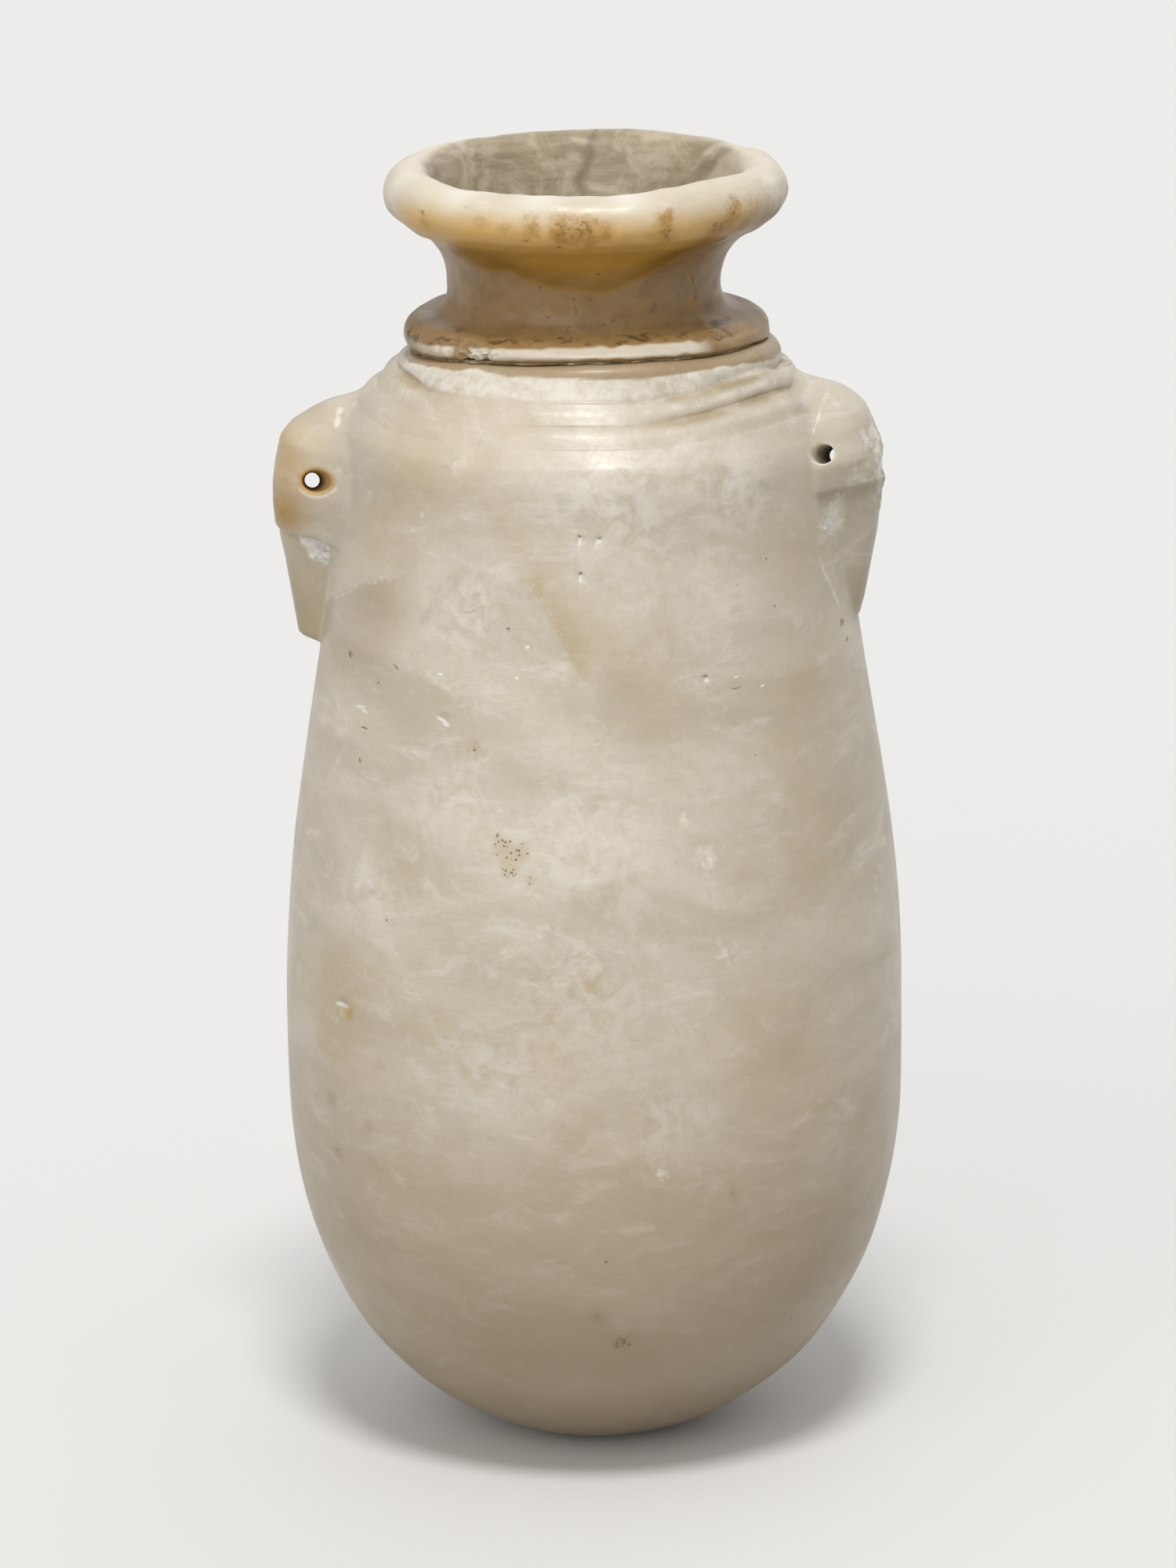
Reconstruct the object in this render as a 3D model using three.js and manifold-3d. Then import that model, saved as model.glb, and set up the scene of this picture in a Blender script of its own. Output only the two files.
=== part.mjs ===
// Egyptian stone vase in millimetres, +Z up. The origin is the centre of the small face it rests on.
// The body and its two pierced lugs are carved from one block. The neck and rim are a second block,
// whose spigot sits in the body's mouth on a thin bed of gypsum mortar.

import * as THREE from 'three';
import { mergeVertices } from 'three/addons/utils/BufferGeometryUtils.js';
import Module from 'manifold-3d';

// Throat and the seat of the neck in the body's mouth
const throatRadius = 18;
const spigotWall = 5.4;
const spigotLength = 8;
const beddingThickness = 0.8;
const beddingSleeveWall = 1;
const beddingSleeveLength = 6;
const seatGap = 0.3;

// Stepped collar on the body, from the mouth outwards and downwards
const mouthFaceWidth = 6.9;
const topRidgeWidth = 2.8;
const topRidgeHeight = 3.8;
const middleRidgeWidth = 2.8;
const middleRidgeHeight = 3.5;
const lowRidgeWidth = 3.9;
const lowRidgeHeight = 3.5;
const shoulderRoundWidth = 4.7;
const shoulderRoundHeight = 9;

// Body below the collar
const bellySwell = 11;
const shoulderRise = 107;
const bowlDepth = 80;
const footRadius = 14;

// Hollow inside the body
const bellyWall = 8;
const shoulderWall = 10;
const floorThickness = 12;
const mouthBoreLength = 22;
const ceilingHeight = 15;

// Neck and rim
const neckWall = 6.8;
const flangeOverhang = 1.2;
const flangeNoseWidth = 4.1;
const flangeHeight = 4.6;
const neckFootHeight = 4.7;
const neckShaftHeight = 1;
const cavettoHeight = 11.3;
const cavettoWidth = 11.2;
const lipOverhang = 11.6;
const lipRollRadius = 5;
const lipRollHalfHeight = 5.1;
const funnelDepth = 19;

// Lugs, each as the carver left it; heights are measured from the level where the shoulder turns in
const leftLug = {
  side: -1,
  topRise: 8.8,
  height: 44.2,
  projection: 11.9,
  halfWidth: 14,
  holeBelowTop: 15.8,
  holeOutset: 4,
  holeMouthRadius: 2.8,
  holeTurn: -9,
  // Height, projection and half width from the foot of the tail to the top of the head
  stationShares: [
    [0, 0.58, 0.50], [0.03, 0.64, 0.56], [0.34, 0.83, 0.66], [0.46, 0.91, 0.70], [0.49, 0.97, 0.90],
    [0.62, 1, 1], [0.75, 0.96, 0.98], [0.85, 0.88, 0.90], [0.90, 0.73, 0.82], [0.95, 0.44, 0.68],
    [0.985, 0.22, 0.50], [1, -0.05, 0.35],
  ],
};
const rightLug = {
  side: 1,
  topRise: 12.5,
  height: 42.5,
  projection: 8,
  halfWidth: 15,
  holeBelowTop: 12.4,
  holeOutset: -2,
  holeMouthRadius: 2.4,
  holeTurn: 2,
  stationShares: [
    [0, 0.44, 0.50], [0.07, 0.57, 0.58], [0.37, 0.87, 0.72], [0.60, 1, 0.80], [0.64, 1, 0.97],
    [0.74, 0.95, 1], [0.86, 0.79, 0.94], [0.91, 0.67, 0.86], [0.95, 0.40, 0.72],
    [0.98, 0.19, 0.55], [1, -0.08, 0.38],
  ],
};
const holeWaistRadius = 1.6;
const holeReach = 22;
const holeDip = 9;
const lugRootDepth = 5;
const lugFootFlareShare = 0.2;
const holeConeShare = 0.85;

// Shape exponents, without units; a bunch power above 1 sets the points closer together at the bottom
const bowlPower = 2.65;
const taperPower = 1.15;
const lugPlanPower = 2.3;
const flarePower = 12;
const bowlBunchPower = 1.5;
const hollowBunchPower = 1.8;
const evenPower = 1;

// Ends of arcs in degrees from the outward direction
const quarterTurn = 90;
const ridgeStartAngle = -30;
const cavettoEndAngle = 72;
const lipStartAngle = -55;
const lipEndAngle = 150;

// Colours and roughness of the two stones and the mortar
const bodyColour = 0xddd0ba;
const neckColour = 0xd6c198;
const mortarColour = 0x8c7650;
const polishedRoughness = 0.4;
const mortarRoughness = 0.85;

// Fineness of the facets
const lathePanels = 56;
const bowlSteps = 9;
const taperSteps = 10;
const wallSteps = 5;
const ridgeSteps = 5;
const archSteps = 6;
const lipSteps = 11;
const holePanels = 20;
const lugSideSteps = 8;

// Cutting tools run past the faces they open by this much
const overrun = 2;

// Radii that follow from the throat outwards
const spigotRadius = throatRadius + spigotWall;
const beddingInnerRadius = spigotRadius + seatGap;
const beddingSleeveRadius = beddingInnerRadius + beddingSleeveWall;
const mouthBoreRadius = beddingSleeveRadius + seatGap;
const mouthFaceRadius = mouthBoreRadius + mouthFaceWidth;
const topRidgeRadius = mouthFaceRadius + topRidgeWidth;
const middleRidgeRadius = topRidgeRadius + middleRidgeWidth;
const lowRidgeRadius = middleRidgeRadius + lowRidgeWidth;
const shoulderRadius = lowRidgeRadius + shoulderRoundWidth;
const bellyRadius = shoulderRadius + bellySwell;
const neckRadius = throatRadius + neckWall;
const flangeRadius = mouthFaceRadius + flangeOverhang;
const lipRadius = neckRadius + lipOverhang;

// Heights that follow from the resting face upwards
const bellyHeight = bowlDepth * (1 - (footRadius / bellyRadius) ** 2) ** (1 / bowlPower);
const shoulderHeight = bellyHeight + shoulderRise;
const lowRidgeBottom = shoulderHeight + shoulderRoundHeight;
const middleRidgeBottom = lowRidgeBottom + lowRidgeHeight;
const topRidgeBottom = middleRidgeBottom + middleRidgeHeight;
const mouthHeight = topRidgeBottom + topRidgeHeight;
const beddingBottom = mouthHeight + seatGap;
const beddingTop = beddingBottom + beddingThickness;
const flangeBottom = beddingTop + seatGap;
const flangeTop = flangeBottom + flangeHeight;
const neckFootTop = flangeTop + neckFootHeight;
const cavettoBottom = neckFootTop + neckShaftHeight;
const lipCentreHeight = cavettoBottom + cavettoHeight + lipRollHalfHeight;
const ceilingTop = mouthHeight - mouthBoreLength;
const ceilingBottom = ceilingTop - ceilingHeight;

const wasm = await Module();
wasm.setup();

function point(radius, height) {
  return new THREE.Vector2(radius, height);
}

// Points of an elliptical arc, with angles in degrees from the outward direction
function arc(centreRadius, centreHeight, halfWidth, halfHeight, startAngle, endAngle, steps) {
  const points = [];
  for (let step = 0; step <= steps; step += 1) {
    const angle = THREE.MathUtils.degToRad(THREE.MathUtils.lerp(startAngle, endAngle, step / steps));
    const radius = centreRadius + halfWidth * Math.cos(angle);
    points.push(point(radius, centreHeight + halfHeight * Math.sin(angle)));
  }
  return points;
}

// A rounded step: it starts a little undercut at its foot, swells and turns in at its top
function ridge(outerRadius, innerRadius, bottom, top) {
  const undercut = Math.sin(THREE.MathUtils.degToRad(-ridgeStartAngle));
  const centreHeight = (bottom + undercut * top) / (1 + undercut);
  return arc(innerRadius, centreHeight, outerRadius - innerRadius, top - centreHeight,
    ridgeStartAngle, quarterTurn, ridgeSteps);
}

// Outside radius of the body below the shoulder's turn
function bodyRadiusAt(height) {
  if (height <= bellyHeight) {
    return bellyRadius * Math.sqrt(1 - ((bellyHeight - height) / bowlDepth) ** bowlPower);
  }
  const share = Math.min((height - bellyHeight) / shoulderRise, 1) ** taperPower;
  return bellyRadius - bellySwell * THREE.MathUtils.smoothstep(share, 0, 1);
}

// Radius of the hollow between its floor and its ceiling
function hollowRadiusAt(height) {
  if (height <= bellyHeight) {
    const depthShare = (bellyHeight - height) / (bellyHeight - floorThickness);
    return (bellyRadius - bellyWall) * Math.sqrt(Math.max(1 - depthShare ** bowlPower, 0));
  }
  const wall = THREE.MathUtils.mapLinear(height, bellyHeight, shoulderHeight, bellyWall, shoulderWall);
  return bodyRadiusAt(height) - wall;
}

// Points of a curve that gives the radius at each height
function sampled(radiusAt, bottom, top, steps, bunchPower) {
  const points = [];
  for (let step = 0; step <= steps; step += 1) {
    const height = THREE.MathUtils.lerp(bottom, top, (step / steps) ** bunchPower);
    points.push(point(radiusAt(height), height));
  }
  return points;
}

function lathe(points) {
  const geometry = new THREE.LatheGeometry(points, lathePanels);
  geometry.rotateX(Math.PI / 2);
  return geometry;
}

// Shared vertices merged and collapsed triangles dropped, so that the surface is closed
function welded(geometry) {
  geometry.deleteAttribute('normal');
  geometry.deleteAttribute('uv');
  const merged = mergeVertices(geometry);
  const corners = merged.index.array;
  const kept = [];
  for (let i = 0; i < corners.length; i += 3) {
    const [a, b, c] = [corners[i], corners[i + 1], corners[i + 2]];
    if (a !== b && b !== c && c !== a) {
      kept.push(a, b, c);
    }
  }
  merged.setIndex(kept);
  return merged;
}

function toSolid(geometry) {
  const closed = welded(geometry);
  const vertProperties = new Float32Array(closed.attributes.position.array);
  const triVerts = new Uint32Array(closed.index.array);
  return new wasm.Manifold(new wasm.Mesh({ numProp: 3, vertProperties, triVerts }));
}

function toGeometry(solid) {
  const mesh = solid.getMesh();
  const geometry = new THREE.BufferGeometry();
  geometry.setAttribute('position', new THREE.BufferAttribute(mesh.vertProperties, 3));
  geometry.setIndex(new THREE.BufferAttribute(mesh.triVerts, 1));
  geometry.computeVertexNormals();
  return geometry;
}

function bodyOutline() {
  return [
    point(0, 0),
    ...sampled(bodyRadiusAt, 0, bellyHeight, bowlSteps, bowlBunchPower),
    ...sampled(bodyRadiusAt, bellyHeight, shoulderHeight, taperSteps, evenPower).slice(1),
    ...arc(lowRidgeRadius, shoulderHeight, shoulderRoundWidth, shoulderRoundHeight,
      0, quarterTurn, ridgeSteps).slice(1),
    ...ridge(lowRidgeRadius, middleRidgeRadius, lowRidgeBottom, middleRidgeBottom),
    ...ridge(middleRidgeRadius, topRidgeRadius, middleRidgeBottom, topRidgeBottom),
    ...ridge(topRidgeRadius, mouthFaceRadius, topRidgeBottom, mouthHeight),
    point(0, mouthHeight),
  ];
}

function hollowOutline() {
  const ceilingRadius = hollowRadiusAt(ceilingBottom);
  return [
    ...sampled(hollowRadiusAt, floorThickness, bellyHeight, bowlSteps, hollowBunchPower),
    ...sampled(hollowRadiusAt, bellyHeight, ceilingBottom, wallSteps, evenPower).slice(1),
    ...arc(mouthBoreRadius, ceilingBottom, ceilingRadius - mouthBoreRadius, ceilingHeight,
      0, quarterTurn, archSteps).slice(1),
    point(mouthBoreRadius, mouthHeight + overrun),
    point(0, mouthHeight + overrun),
  ];
}

// One level of a lug: a rounded ear in plan, widened where it grows out of the body
function lugRing(lug, heightShare, projectionShare, widthShare) {
  const rootRadius = shoulderRadius - lugRootDepth;
  const reach = shoulderRadius + lug.projection * projectionShare - rootRadius;
  const halfWidth = lug.halfWidth * widthShare;
  const height = shoulderHeight + lug.topRise - lug.height * (1 - heightShare);
  const ring = [];
  for (let step = -lugSideSteps; step <= lugSideSteps; step += 1) {
    const angle = (step / lugSideSteps) * (Math.PI / 2);
    const outward = Math.cos(angle) ** (2 / lugPlanPower);
    const sideways = Math.sign(step) * Math.abs(Math.sin(angle)) ** (2 / lugPlanPower);
    const flare = 1 + lugFootFlareShare * Math.abs(Math.sin(angle)) ** flarePower;
    const x = lug.side * (rootRadius + reach * outward);
    ring.push(new THREE.Vector3(x, lug.side * halfWidth * sideways * flare, height));
  }
  return ring;
}

// Skin over a stack of rings with the same number of points, closed by a flat fan at each end
function loft(rings) {
  const count = rings[0].length;
  const positions = rings.flat().flatMap((corner) => corner.toArray());
  const faces = [];
  for (let level = 0; level < rings.length - 1; level += 1) {
    for (let i = 0; i < count; i += 1) {
      const next = (i + 1) % count;
      const [a, b] = [level * count + i, level * count + next];
      faces.push(a, b, b + count, a, b + count, a + count);
    }
  }
  const top = (rings.length - 1) * count;
  for (let i = 1; i < count - 1; i += 1) {
    faces.push(0, i + 1, i, top, top + i, top + i + 1);
  }
  const geometry = new THREE.BufferGeometry();
  geometry.setAttribute('position', new THREE.Float32BufferAttribute(positions, 3));
  geometry.setAttribute('normal', new THREE.Float32BufferAttribute(positions.length, 3));
  geometry.setAttribute('uv', new THREE.Float32BufferAttribute(positions.length, 2));
  geometry.setIndex(faces);
  return geometry;
}

function lugSolid(lug) {
  return toSolid(loft(lug.stationShares.map((shares) => lugRing(lug, ...shares))));
}

// String hole, drilled from both faces so that it narrows to a waist inside the lug
function holeSolid(lug) {
  const coneDepth = lug.halfWidth * holeConeShare;
  const geometry = new THREE.LatheGeometry([
    point(0, -holeReach),
    point(lug.holeMouthRadius, -holeReach),
    point(lug.holeMouthRadius, -coneDepth),
    point(holeWaistRadius, 0),
    point(lug.holeMouthRadius, coneDepth),
    point(lug.holeMouthRadius, holeReach),
    point(0, holeReach),
  ], holePanels);
  geometry.rotateX(THREE.MathUtils.degToRad(-holeDip));
  geometry.rotateZ(THREE.MathUtils.degToRad(-lug.holeTurn));
  geometry.translate(
    lug.side * (shoulderRadius + lug.holeOutset),
    0,
    shoulderHeight + lug.topRise - lug.holeBelowTop,
  );
  return toSolid(geometry);
}

function vesselBody() {
  return toSolid(lathe(bodyOutline()))
    .add(lugSolid(leftLug))
    .add(lugSolid(rightLug))
    .subtract(toSolid(lathe(hollowOutline())))
    .subtract(holeSolid(leftLug))
    .subtract(holeSolid(rightLug));
}

// Spigot, flange, hollow-curved neck, rolled lip and the funnel that leads into the throat
function neckOutline() {
  const flangeNoseRadius = flangeRadius - flangeNoseWidth;
  const spigotBottom = flangeBottom - spigotLength;
  const lipCentreRadius = lipRadius - lipRollRadius;
  return [
    point(throatRadius, spigotBottom),
    point(spigotRadius, spigotBottom),
    point(spigotRadius, flangeBottom),
    ...ridge(flangeRadius, flangeNoseRadius, flangeBottom, flangeTop),
    ...arc(flangeNoseRadius, neckFootTop, neckRadius - flangeNoseRadius, -neckFootHeight,
      quarterTurn, 0, ridgeSteps).slice(1),
    ...arc(neckRadius + cavettoWidth, cavettoBottom, -cavettoWidth, cavettoHeight,
      0, cavettoEndAngle, archSteps),
    ...arc(lipCentreRadius, lipCentreHeight, lipRollRadius, lipRollHalfHeight,
      lipStartAngle, lipEndAngle, lipSteps),
    point(throatRadius, lipCentreHeight - funnelDepth),
    point(throatRadius, spigotBottom),
  ];
}

// Mortar between flange and mouth, with a sleeve that hangs between spigot and bore
function beddingOutline() {
  const sleeveBottom = beddingBottom - beddingSleeveLength;
  return [
    point(beddingInnerRadius, sleeveBottom),
    point(beddingSleeveRadius, sleeveBottom),
    point(beddingSleeveRadius, beddingBottom),
    point(mouthFaceRadius - seatGap, beddingBottom),
    point(mouthFaceRadius - seatGap, beddingTop),
    point(beddingInnerRadius, beddingTop),
    point(beddingInnerRadius, sleeveBottom),
  ];
}

function piece(name, solid, color, roughness) {
  const material = new THREE.MeshStandardMaterial({ color, roughness, metalness: 0 });
  const mesh = new THREE.Mesh(toGeometry(solid), material);
  mesh.name = name;
  return mesh;
}

const vase = new THREE.Group();
vase.add(piece('vessel_body', vesselBody(), bodyColour, polishedRoughness));
vase.add(piece('neck_and_rim', toSolid(lathe(neckOutline())), neckColour, polishedRoughness));
vase.add(piece('neck_bedding', toSolid(lathe(beddingOutline())), mortarColour, mortarRoughness));

export default vase;
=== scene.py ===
# Egyptian stone vase in Blender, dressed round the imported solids.
# Lengths are in millimetres and angles in degrees until a mesh, a lamp or a node is made.
# Azimuths are seen from above: 0 is the front, 90 is the right lug and -90 the left lug.

import math

import bpy
import numpy as np
from mathutils import Matrix, Vector


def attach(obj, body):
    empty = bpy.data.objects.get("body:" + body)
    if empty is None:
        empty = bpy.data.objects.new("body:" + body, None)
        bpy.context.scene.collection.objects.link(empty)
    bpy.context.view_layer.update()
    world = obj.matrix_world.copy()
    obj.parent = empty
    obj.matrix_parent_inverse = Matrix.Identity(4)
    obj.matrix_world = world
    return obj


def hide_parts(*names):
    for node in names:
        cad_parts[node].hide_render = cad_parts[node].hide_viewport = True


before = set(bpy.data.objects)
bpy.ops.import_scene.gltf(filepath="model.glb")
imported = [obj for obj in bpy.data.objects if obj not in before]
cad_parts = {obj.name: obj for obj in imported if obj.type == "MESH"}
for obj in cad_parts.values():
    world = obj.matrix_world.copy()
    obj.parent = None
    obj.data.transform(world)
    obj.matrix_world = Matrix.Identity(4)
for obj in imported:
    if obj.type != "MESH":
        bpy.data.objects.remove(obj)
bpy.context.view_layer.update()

MM = 0.001

# Throat, seat of the neck and stepped collar
THROAT_RADIUS = 18.0
SPIGOT_RADIUS = 23.4
SPIGOT_LENGTH = 8.0
SLEEVE_LENGTH = 6.0
MOUTH_BORE_RADIUS = 25.0
MOUTH_FACE_RADIUS = 31.9
TOP_RIDGE_RADIUS = 34.7
MIDDLE_RIDGE_RADIUS = 37.5
LOW_RIDGE_RADIUS = 41.4
SHOULDER_RADIUS = 46.1
SHOULDER_ROUND_HEIGHT = 9.0
LOW_RIDGE_HEIGHT = 3.5
MIDDLE_RIDGE_HEIGHT = 3.5
TOP_RIDGE_HEIGHT = 4.2
JOINT_HEIGHT = 0.6

# Body and its hollow
BELLY_RADIUS = 57.1
FOOT_RADIUS = 14.0
BOWL_DEPTH = 80.0
SHOULDER_RISE = 107.0
BELLY_WALL = 8.0
SHOULDER_WALL = 10.0
FLOOR_THICKNESS = 12.0
MOUTH_BORE_LENGTH = 22.0
CEILING_HEIGHT = 15.0
BOWL_POWER = 2.65
TAPER_POWER = 1.15

# Neck and rim
NECK_RADIUS = 24.8
FLANGE_RADIUS = 33.1
FLANGE_NOSE_WIDTH = 4.1
FLANGE_HEIGHT = 5.0
NECK_FOOT_HEIGHT = 4.7
NECK_SHAFT_HEIGHT = 1.0
CAVETTO_HEIGHT = 11.3
CAVETTO_WIDTH = 11.2
LIP_RADIUS = 36.4
LIP_ROLL_RADIUS = 4.6
LIP_START_ANGLE = -55.0
LIP_END_ANGLE = 145.0
LIP_ROLL_HALF_HEIGHT = 5.1
FUNNEL_DEPTH = 19.0

# Heights that follow from the resting face upwards
BELLY_HEIGHT = BOWL_DEPTH * (1 - (FOOT_RADIUS / BELLY_RADIUS) ** 2) ** (1 / BOWL_POWER)
SHOULDER_HEIGHT = BELLY_HEIGHT + SHOULDER_RISE
LOW_RIDGE_BOTTOM = SHOULDER_HEIGHT + SHOULDER_ROUND_HEIGHT
MIDDLE_RIDGE_BOTTOM = LOW_RIDGE_BOTTOM + LOW_RIDGE_HEIGHT
TOP_RIDGE_BOTTOM = MIDDLE_RIDGE_BOTTOM + MIDDLE_RIDGE_HEIGHT
MOUTH_HEIGHT = TOP_RIDGE_BOTTOM + TOP_RIDGE_HEIGHT
FLANGE_BOTTOM = MOUTH_HEIGHT + JOINT_HEIGHT
FLANGE_TOP = FLANGE_BOTTOM + FLANGE_HEIGHT
NECK_FOOT_TOP = FLANGE_TOP + NECK_FOOT_HEIGHT
CAVETTO_BOTTOM = NECK_FOOT_TOP + NECK_SHAFT_HEIGHT
LIP_CENTRE_HEIGHT = CAVETTO_BOTTOM + CAVETTO_HEIGHT + LIP_ROLL_HALF_HEIGHT
FUNNEL_BOTTOM = LIP_CENTRE_HEIGHT - FUNNEL_DEPTH
CEILING_TOP = MOUTH_HEIGHT - MOUTH_BORE_LENGTH
CEILING_BOTTOM = CEILING_TOP - CEILING_HEIGHT
RIDGE_BOTTOMS = [LOW_RIDGE_BOTTOM, MIDDLE_RIDGE_BOTTOM, TOP_RIDGE_BOTTOM]

# Lugs; each station has shares of the height, the projection and the half width
LEFT_LUG = {
    "azimuth": -90,
    "top_rise": 8.8,
    "height": 44.2,
    "projection": 11.9,
    "half_width": 14,
    "ledge_slope": 0.16,
    "ledge_share": 0.48,
    "hole_below_top": 15.25,
    "hole_outset": 5,
    "hole_mouth_radius": 2.2,
    "hole_mouth_stretch": 1.3,
    "hole_front_turn": -9.5,
    "hole_back_turn": -5,
    "hole_front_dip": 12,
    "hole_back_dip": 12,
    "hole_edge_rounds": 3,
    "station_shares": [
        (-0.05, -0.60, 0.40), (-0.02, -0.20, 0.44), (0, 0.50, 0.49), (0.02, 0.66, 0.53),
        (0.34, 0.83, 0.66), (0.44, 0.905, 0.72), (0.475, 0.91, 0.72), (0.483, 0.97, 0.86),
        (0.58, 1.00, 0.95), (0.66, 1.00, 1.00), (0.75, 0.96, 0.98), (0.85, 0.88, 0.90),
        (0.90, 0.73, 0.82), (0.95, 0.44, 0.68), (0.985, 0.20, 0.50), (1.01, -0.12, 0.35),
        (1.05, -0.60, 0.20),
    ],
}
RIGHT_LUG = {
    "azimuth": 90,
    "top_rise": 12.5,
    "height": 42.5,
    "projection": 8,
    "half_width": 15,
    "ledge_slope": 0,
    "ledge_share": 0.61,
    "hole_below_top": 13.35,
    "hole_outset": -1,
    "hole_mouth_radius": 1.9,
    "hole_mouth_stretch": 1,
    "hole_front_turn": 5.7,
    "hole_back_turn": -5,
    "hole_front_dip": 13.4,
    "hole_back_dip": 12,
    "hole_edge_rounds": 6,
    "station_shares": [
        (-0.06, -0.60, 0.42), (-0.02, 0.12, 0.48), (0.01, 0.38, 0.51), (0.07, 0.49, 0.58),
        (0.37, 0.80, 0.72), (0.58, 0.92, 0.80), (0.605, 0.92, 0.82), (0.617, 0.92, 0.92),
        (0.74, 0.81, 1.00), (0.86, 0.62, 0.94), (0.91, 0.48, 0.86), (0.95, 0.26, 0.72),
        (0.98, 0.05, 0.55), (1.00, -0.18, 0.38), (1.05, -1.20, 0.20),
    ],
}
LUGS = [LEFT_LUG, RIGHT_LUG]
LUG_ROOT_DEPTH = 5.0
LUG_PLAN_POWER = 2.4
LUG_SOFTNESS = 0.4
HEAD_FILLET = 11.0
TAIL_FILLET = 1.8
CREASE_FILLET = 2.5
CREASE_RISE = 9.0
LEDGE_WINDOW = 6.0
LUG_SPREAD = 30.0
LUG_MARGIN = 4.0
TAIL_SHARE = 0.35
BISECTIONS = 32
HOLE_WAIST_RADIUS = 1.4
HOLE_REACH = 22.0
HOLE_ROWS = 75
HOLE_STEP = 6.0

# Fineness of the meshes: distance between rows and angle between columns
BOWL_SPACING = 0.8
TAIL_SPACING = 0.45
TAIL_LEVEL = 146.0
COLLAR_SPACING = 0.3
SEAT_SPACING = 0.7
HOLLOW_SPACING = 2.2
LIP_SPACING = 0.5
FRONT_STEP = 0.6
BACK_STEP = 1.3
FLANK_STEP = 0.3
LUG_STEP = 0.5
FRONT_HALF_ANGLE = 75
LUG_HALF_ANGLE = 27
FLANK_START = 8
FLANK_END = 20
DENSE_STEPS = 400


def linear(red, green, blue):
    """A colour given as 0 to 255 display values, as Blender wants it."""
    shares = [value / 255 for value in (red, green, blue)]
    return tuple(s / 12.92 if s <= 0.04045 else ((s + 0.055) / 1.055) ** 2.4 for s in shares)


def smooth_step(low, high, value):
    share = np.clip((value - low) / (high - low), 0, 1)
    return share * share * (3 - 2 * share)


def rise_and_fall(value, start, full, fading, end):
    """Rises smoothly from 0 to 1 between the first two limits and falls back between the last two."""
    return smooth_step(start, full, value) * smooth_step(end, fading, value)


def hump(offset, width):
    return np.exp(-(offset / width) ** 2)


def radii_of(points):
    return np.hypot(points[..., 0], points[..., 1])


def waves(points, size, seed, count=20):
    """Smooth random relief of about -1 to 1, with swells of about the given size."""
    rng = np.random.default_rng(seed)
    directions = rng.normal(size=(count, 3))
    directions /= np.linalg.norm(directions, axis=1)[:, None]
    pitches = rng.uniform(0.7, 1.4, count) * 2 * math.pi / size
    phases = rng.uniform(0, 2 * math.pi, count)
    total = np.zeros(points.shape[:-1])
    for direction, pitch, phase in zip(directions, pitches, phases):
        total += np.sin(points @ direction * pitch + phase)
    return total / math.sqrt(count)


def around(azimuths, table):
    """A value for each azimuth, from a table of azimuths and shares that closes on itself."""
    angles, values = zip(*table)
    return np.interp(azimuths, angles, values, period=360)


# Outlines as arrays of radius and height
def arc(centre_radius, centre_height, half_width, half_height, start, end):
    angles = np.radians(np.linspace(start, end, DENSE_STEPS))
    radii = centre_radius + half_width * np.cos(angles)
    return np.column_stack((radii, centre_height + half_height * np.sin(angles)))


def ridge(outer_radius, inner_radius, bottom, top):
    """A rounded step, a little undercut at its foot."""
    undercut_angle = -30
    undercut = math.sin(math.radians(-undercut_angle))
    centre_height = (bottom + undercut * top) / (1 + undercut)
    half_height = top - centre_height
    return arc(inner_radius, centre_height, outer_radius - inner_radius, half_height, undercut_angle, 90)


def legs(spacing, *corners):
    """Straight sections from corner to corner, each with its spacing."""
    return [(np.array(ends, float), spacing) for ends in zip(corners, corners[1:])]


def resampled(outline, spacing):
    """The same outline with points an even distance apart."""
    steps = np.linalg.norm(np.diff(outline, axis=0), axis=1)
    lengths = np.concatenate(([0], np.cumsum(steps)))
    count = max(int(round(lengths[-1] / spacing)), 1)
    targets = np.linspace(0, lengths[-1], count + 1)
    return np.column_stack([np.interp(targets, lengths, outline[:, axis]) for axis in (0, 1)])


def joined(*sections):
    """Sections put end to end, each resampled at its own spacing."""
    rows = [resampled(outline, spacing) for outline, spacing in sections]
    kept = [rows[0]] + [row[1:] for row in rows[1:]]
    return np.vstack(kept)


def body_radius(heights):
    """Outside radius of the body below the turn of its shoulder."""
    below = np.clip((BELLY_HEIGHT - heights) / BOWL_DEPTH, 0, 1)
    bowl = BELLY_RADIUS * np.sqrt(1 - below ** BOWL_POWER)
    above = np.clip((heights - BELLY_HEIGHT) / SHOULDER_RISE, 0, 1) ** TAPER_POWER
    return bowl - (BELLY_RADIUS - SHOULDER_RADIUS) * smooth_step(0, 1, above)


def hollow_radius(heights):
    """Radius of the hollow between its floor and its ceiling."""
    below = np.clip((BELLY_HEIGHT - heights) / (BELLY_HEIGHT - FLOOR_THICKNESS), 0, 1)
    bowl = (BELLY_RADIUS - BELLY_WALL) * np.sqrt(1 - below ** BOWL_POWER)
    rise = np.clip((heights - BELLY_HEIGHT) / SHOULDER_RISE, 0, 1)
    wall = BELLY_WALL + (SHOULDER_WALL - BELLY_WALL) * rise
    return np.where(heights <= BELLY_HEIGHT, bowl, body_radius(heights) - wall)


def body_wall(bottom, top):
    heights = bottom + (top - bottom) * np.linspace(0, 1, DENSE_STEPS) ** 2
    return np.column_stack((body_radius(heights), heights))


def hollow_wall(bottom, top):
    heights = top + (bottom - top) * (1 - (1 - np.linspace(0, 1, DENSE_STEPS)) ** 2)
    return np.column_stack((hollow_radius(heights), heights))


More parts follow.
